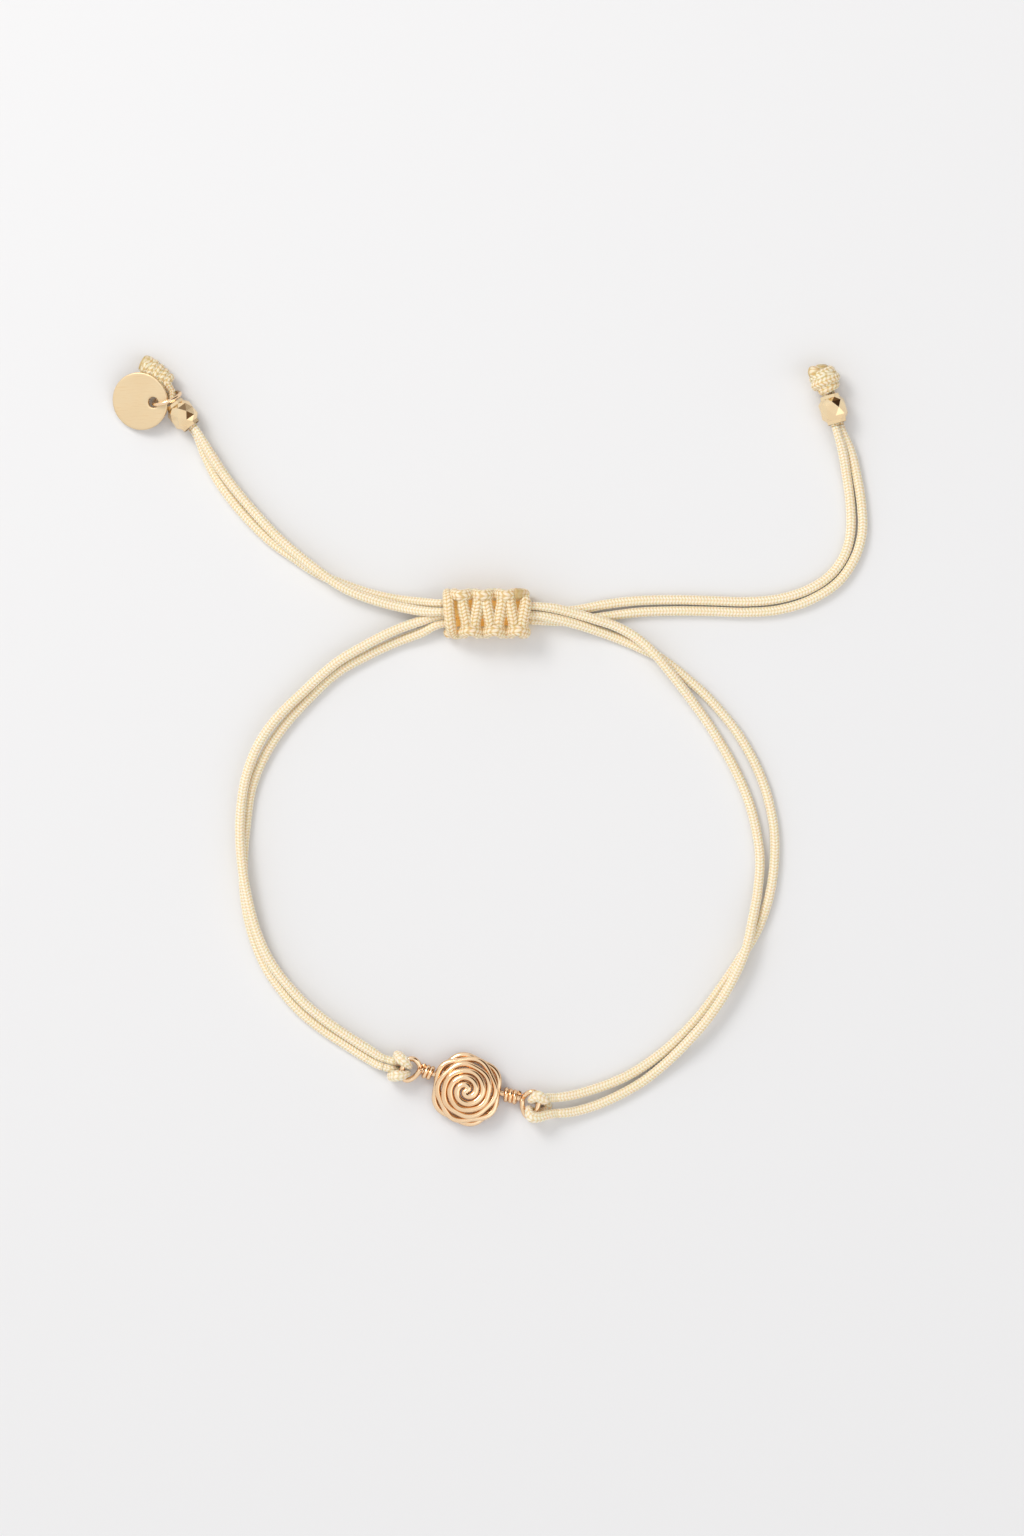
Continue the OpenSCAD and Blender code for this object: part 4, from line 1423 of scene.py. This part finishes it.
@dataclass(frozen=True)
class Studio:
    """Pale floor, soft light from the upper left and the photo's camera."""

    distance: float = 0.6
    frame_height: float = 1536 * 0.107 * MM
    sensor: float = 36.0
    middle: tuple[float, float] = (0.000535, 0.009416)
    paper_half: float = 1.2
    room: float = 0.965
    dark_side: Colour = (0.62, 0.55, 0.50)
    room_tones: tuple[tuple[float, Colour], ...] = (
        (0.0, (0.95, 0.95, 0.96)), (0.80, (1.0, 1.0, 1.0)),
        (0.90, (0.16, 0.10, 0.06)), (1.0, (0.05, 0.03, 0.02)))

    def camera(self) -> None:
        """Look straight down with the photo's frame."""
        data = bpy.data.cameras.new("camera")
        data.sensor_fit = "VERTICAL"
        data.sensor_height = self.sensor
        data.lens = self.sensor * self.distance / self.frame_height
        data.clip_start = 0.01
        data.clip_end = 10.0
        made = linked("camera", data)
        made.location = (*self.middle, self.distance)
        bpy.context.scene.camera = made

    def floor(self) -> None:
        """Lay the paper that the bracelet lies on."""
        half = self.paper_half
        mesh = bpy.data.meshes.new("paper")
        corners = [(-half, -half, 0), (half, -half, 0), (half, half, 0), (-half, half, 0)]
        mesh.from_pydata(corners, [], [(0, 1, 2, 3)])
        mesh.materials.append(PAPER.build())
        linked("paper", mesh)

    def light(self, name: str, place: Row, size: float, power: float, colour: Colour) -> None:
        """Hang a square soft light that faces the bracelet.

        Args:
            name: The light's name.
            place: Where it hangs, in metres.
            size: The length of its sides.
            power: Its power in watts.
            colour: Its colour.
        """
        data = bpy.data.lights.new(name, "AREA")
        data.shape = "SQUARE"
        data.size = size
        data.energy = power
        data.color = colour
        made = linked(name, data)
        made.location = place
        made.rotation_euler = Vector(place).to_track_quat("Z", "Y").to_euler()

    def surroundings(self) -> None:
        """Make the room white, with a dark side that the gold reflects."""
        world = bpy.data.worlds.new("room")
        bpy.context.scene.world = world
        world.use_nodes = True
        nodes, links = world.node_tree.nodes, world.node_tree.links
        nodes.clear()
        place = nodes.new("ShaderNodeTexCoord")
        dot = nodes.new("ShaderNodeVectorMath")
        ramp = nodes.new("ShaderNodeValToRGB")
        back = nodes.new("ShaderNodeBackground")
        output = nodes.new("ShaderNodeOutputWorld")
        dot.operation = "DOT_PRODUCT"
        dot.inputs[1].default_value = unit(self.dark_side)
        stops = ramp.color_ramp.elements
        while len(stops) < len(self.room_tones):
            stops.new(1.0)
        for stop, (position, tone) in zip(stops, self.room_tones):
            stop.position = position
            stop.color = (*tone, 1.0)
        back.inputs["Strength"].default_value = self.room
        links.new(place.outputs["Generated"], dot.inputs[0])
        links.new(dot.outputs["Value"], ramp.inputs[0])
        links.new(ramp.outputs[0], back.inputs["Color"])
        links.new(back.outputs[0], output.inputs["Surface"])

    def build(self) -> None:
        """Set up the camera, the floor, the lights and the room."""
        bpy.context.scene.view_settings.view_transform = "Standard"
        self.camera()
        self.floor()
        self.surroundings()
        self.light("key_light", (-0.28, 0.30, 0.42), size=0.22, power=1.3,
                   colour=(1.0, 0.99, 0.97))
        self.light("fill_light", (0.35, -0.15, 0.45), size=0.5, power=0.4,
                   colour=(0.98, 0.99, 1.0))


def build_loop(braid: bpy.types.Material) -> None:
    """Args:
        braid: The braid's material.
    """
    for name, rows, hitch, side, start_dir in (
            ("left_over_strand", LEFT_OVER_ROWS, LEFT_HITCH, -1, WEST),
            ("left_under_strand", LEFT_UNDER_ROWS, LEFT_HITCH, 1, WEST),
            ("right_over_strand", RIGHT_OVER_ROWS, RIGHT_HITCH, -1, EAST),
            ("right_under_strand", RIGHT_UNDER_ROWS, RIGHT_HITCH, 1, EAST)):
        strand = Strand(name, rows, hitch.end(side), start_dir, -flat_dir(hitch.leave))
        strand.declare(strand.build(braid), [])
    for hitch in (LEFT_HITCH, RIGHT_HITCH):
        hitch.build(braid)


def build_tails(braid: bpy.types.Material, knot: bpy.types.Material,
                tag_pieces: list[bpy.types.Object]) -> None:
    """Args:
        braid: The braid's material on the free ends.
        knot: The braid's material in the knots.
        tag_pieces: The jump ring and the tag.
    """
    gold = PALE_GOLD.build()
    left = [FacetedBead("left_bead", LEFT_BEAD).build(gold), left_end_knot().build(knot),
            *tag_pieces]
    right = [FacetedBead("right_bead", RIGHT_BEAD).build(gold), right_end_knot().build(knot)]
    for name, rows, bead, which, start_dir, pieces in (
            ("left_tail_over", LEFT_TAIL_OVER_ROWS, LEFT_BEAD, 0, WEST, left),
            ("left_tail_under", LEFT_TAIL_UNDER_ROWS, LEFT_BEAD, 1, WEST, []),
            ("right_tail_inner", RIGHT_TAIL_INNER_ROWS, RIGHT_BEAD, 0, EAST, right),
            ("right_tail_outer", RIGHT_TAIL_OUTER_ROWS, RIGHT_BEAD, 1, EAST, [])):
        last = bead.cord_row(which, -bead.mouth)
        tail = Strand(name, rows, last, start_dir, flat_dir(bead.turn), tail=True)
        tail.declare(tail.build(braid), pieces)


def main() -> None:
    """Build the studio and the bracelet, piece by piece."""
    logging.basicConfig(level=logging.INFO, format="%(name)s: %(message)s")
    Studio().build()
    wire = ROSE_GOLD.build()
    tag_pieces = [JumpRing().build(wire), Tag().build(SATIN_GOLD.build())]
    braid, knot = LOOP_BRAID.build(), SHADED_KNOT_BRAID.build()
    build_loop(braid)
    SlidingKnot().build(knot)
    build_tails(braid, knot, tag_pieces)
    rose = Rose()
    RoseWire("wire_rose", rose.wound(), tip=0.2).build(wire)
    RoseWire("eyelet_wire", rose.eyelets(), tip=0.1).build(wire)
    for name, toward, turns in (("left_coil", -1, 2), ("right_coil", 1, 3)):
        RoseWire(name, rose.coil(toward, turns), tip=0.06, first=(0, 1, 0)).build(wire)


if __name__ == "__main__":
    main()
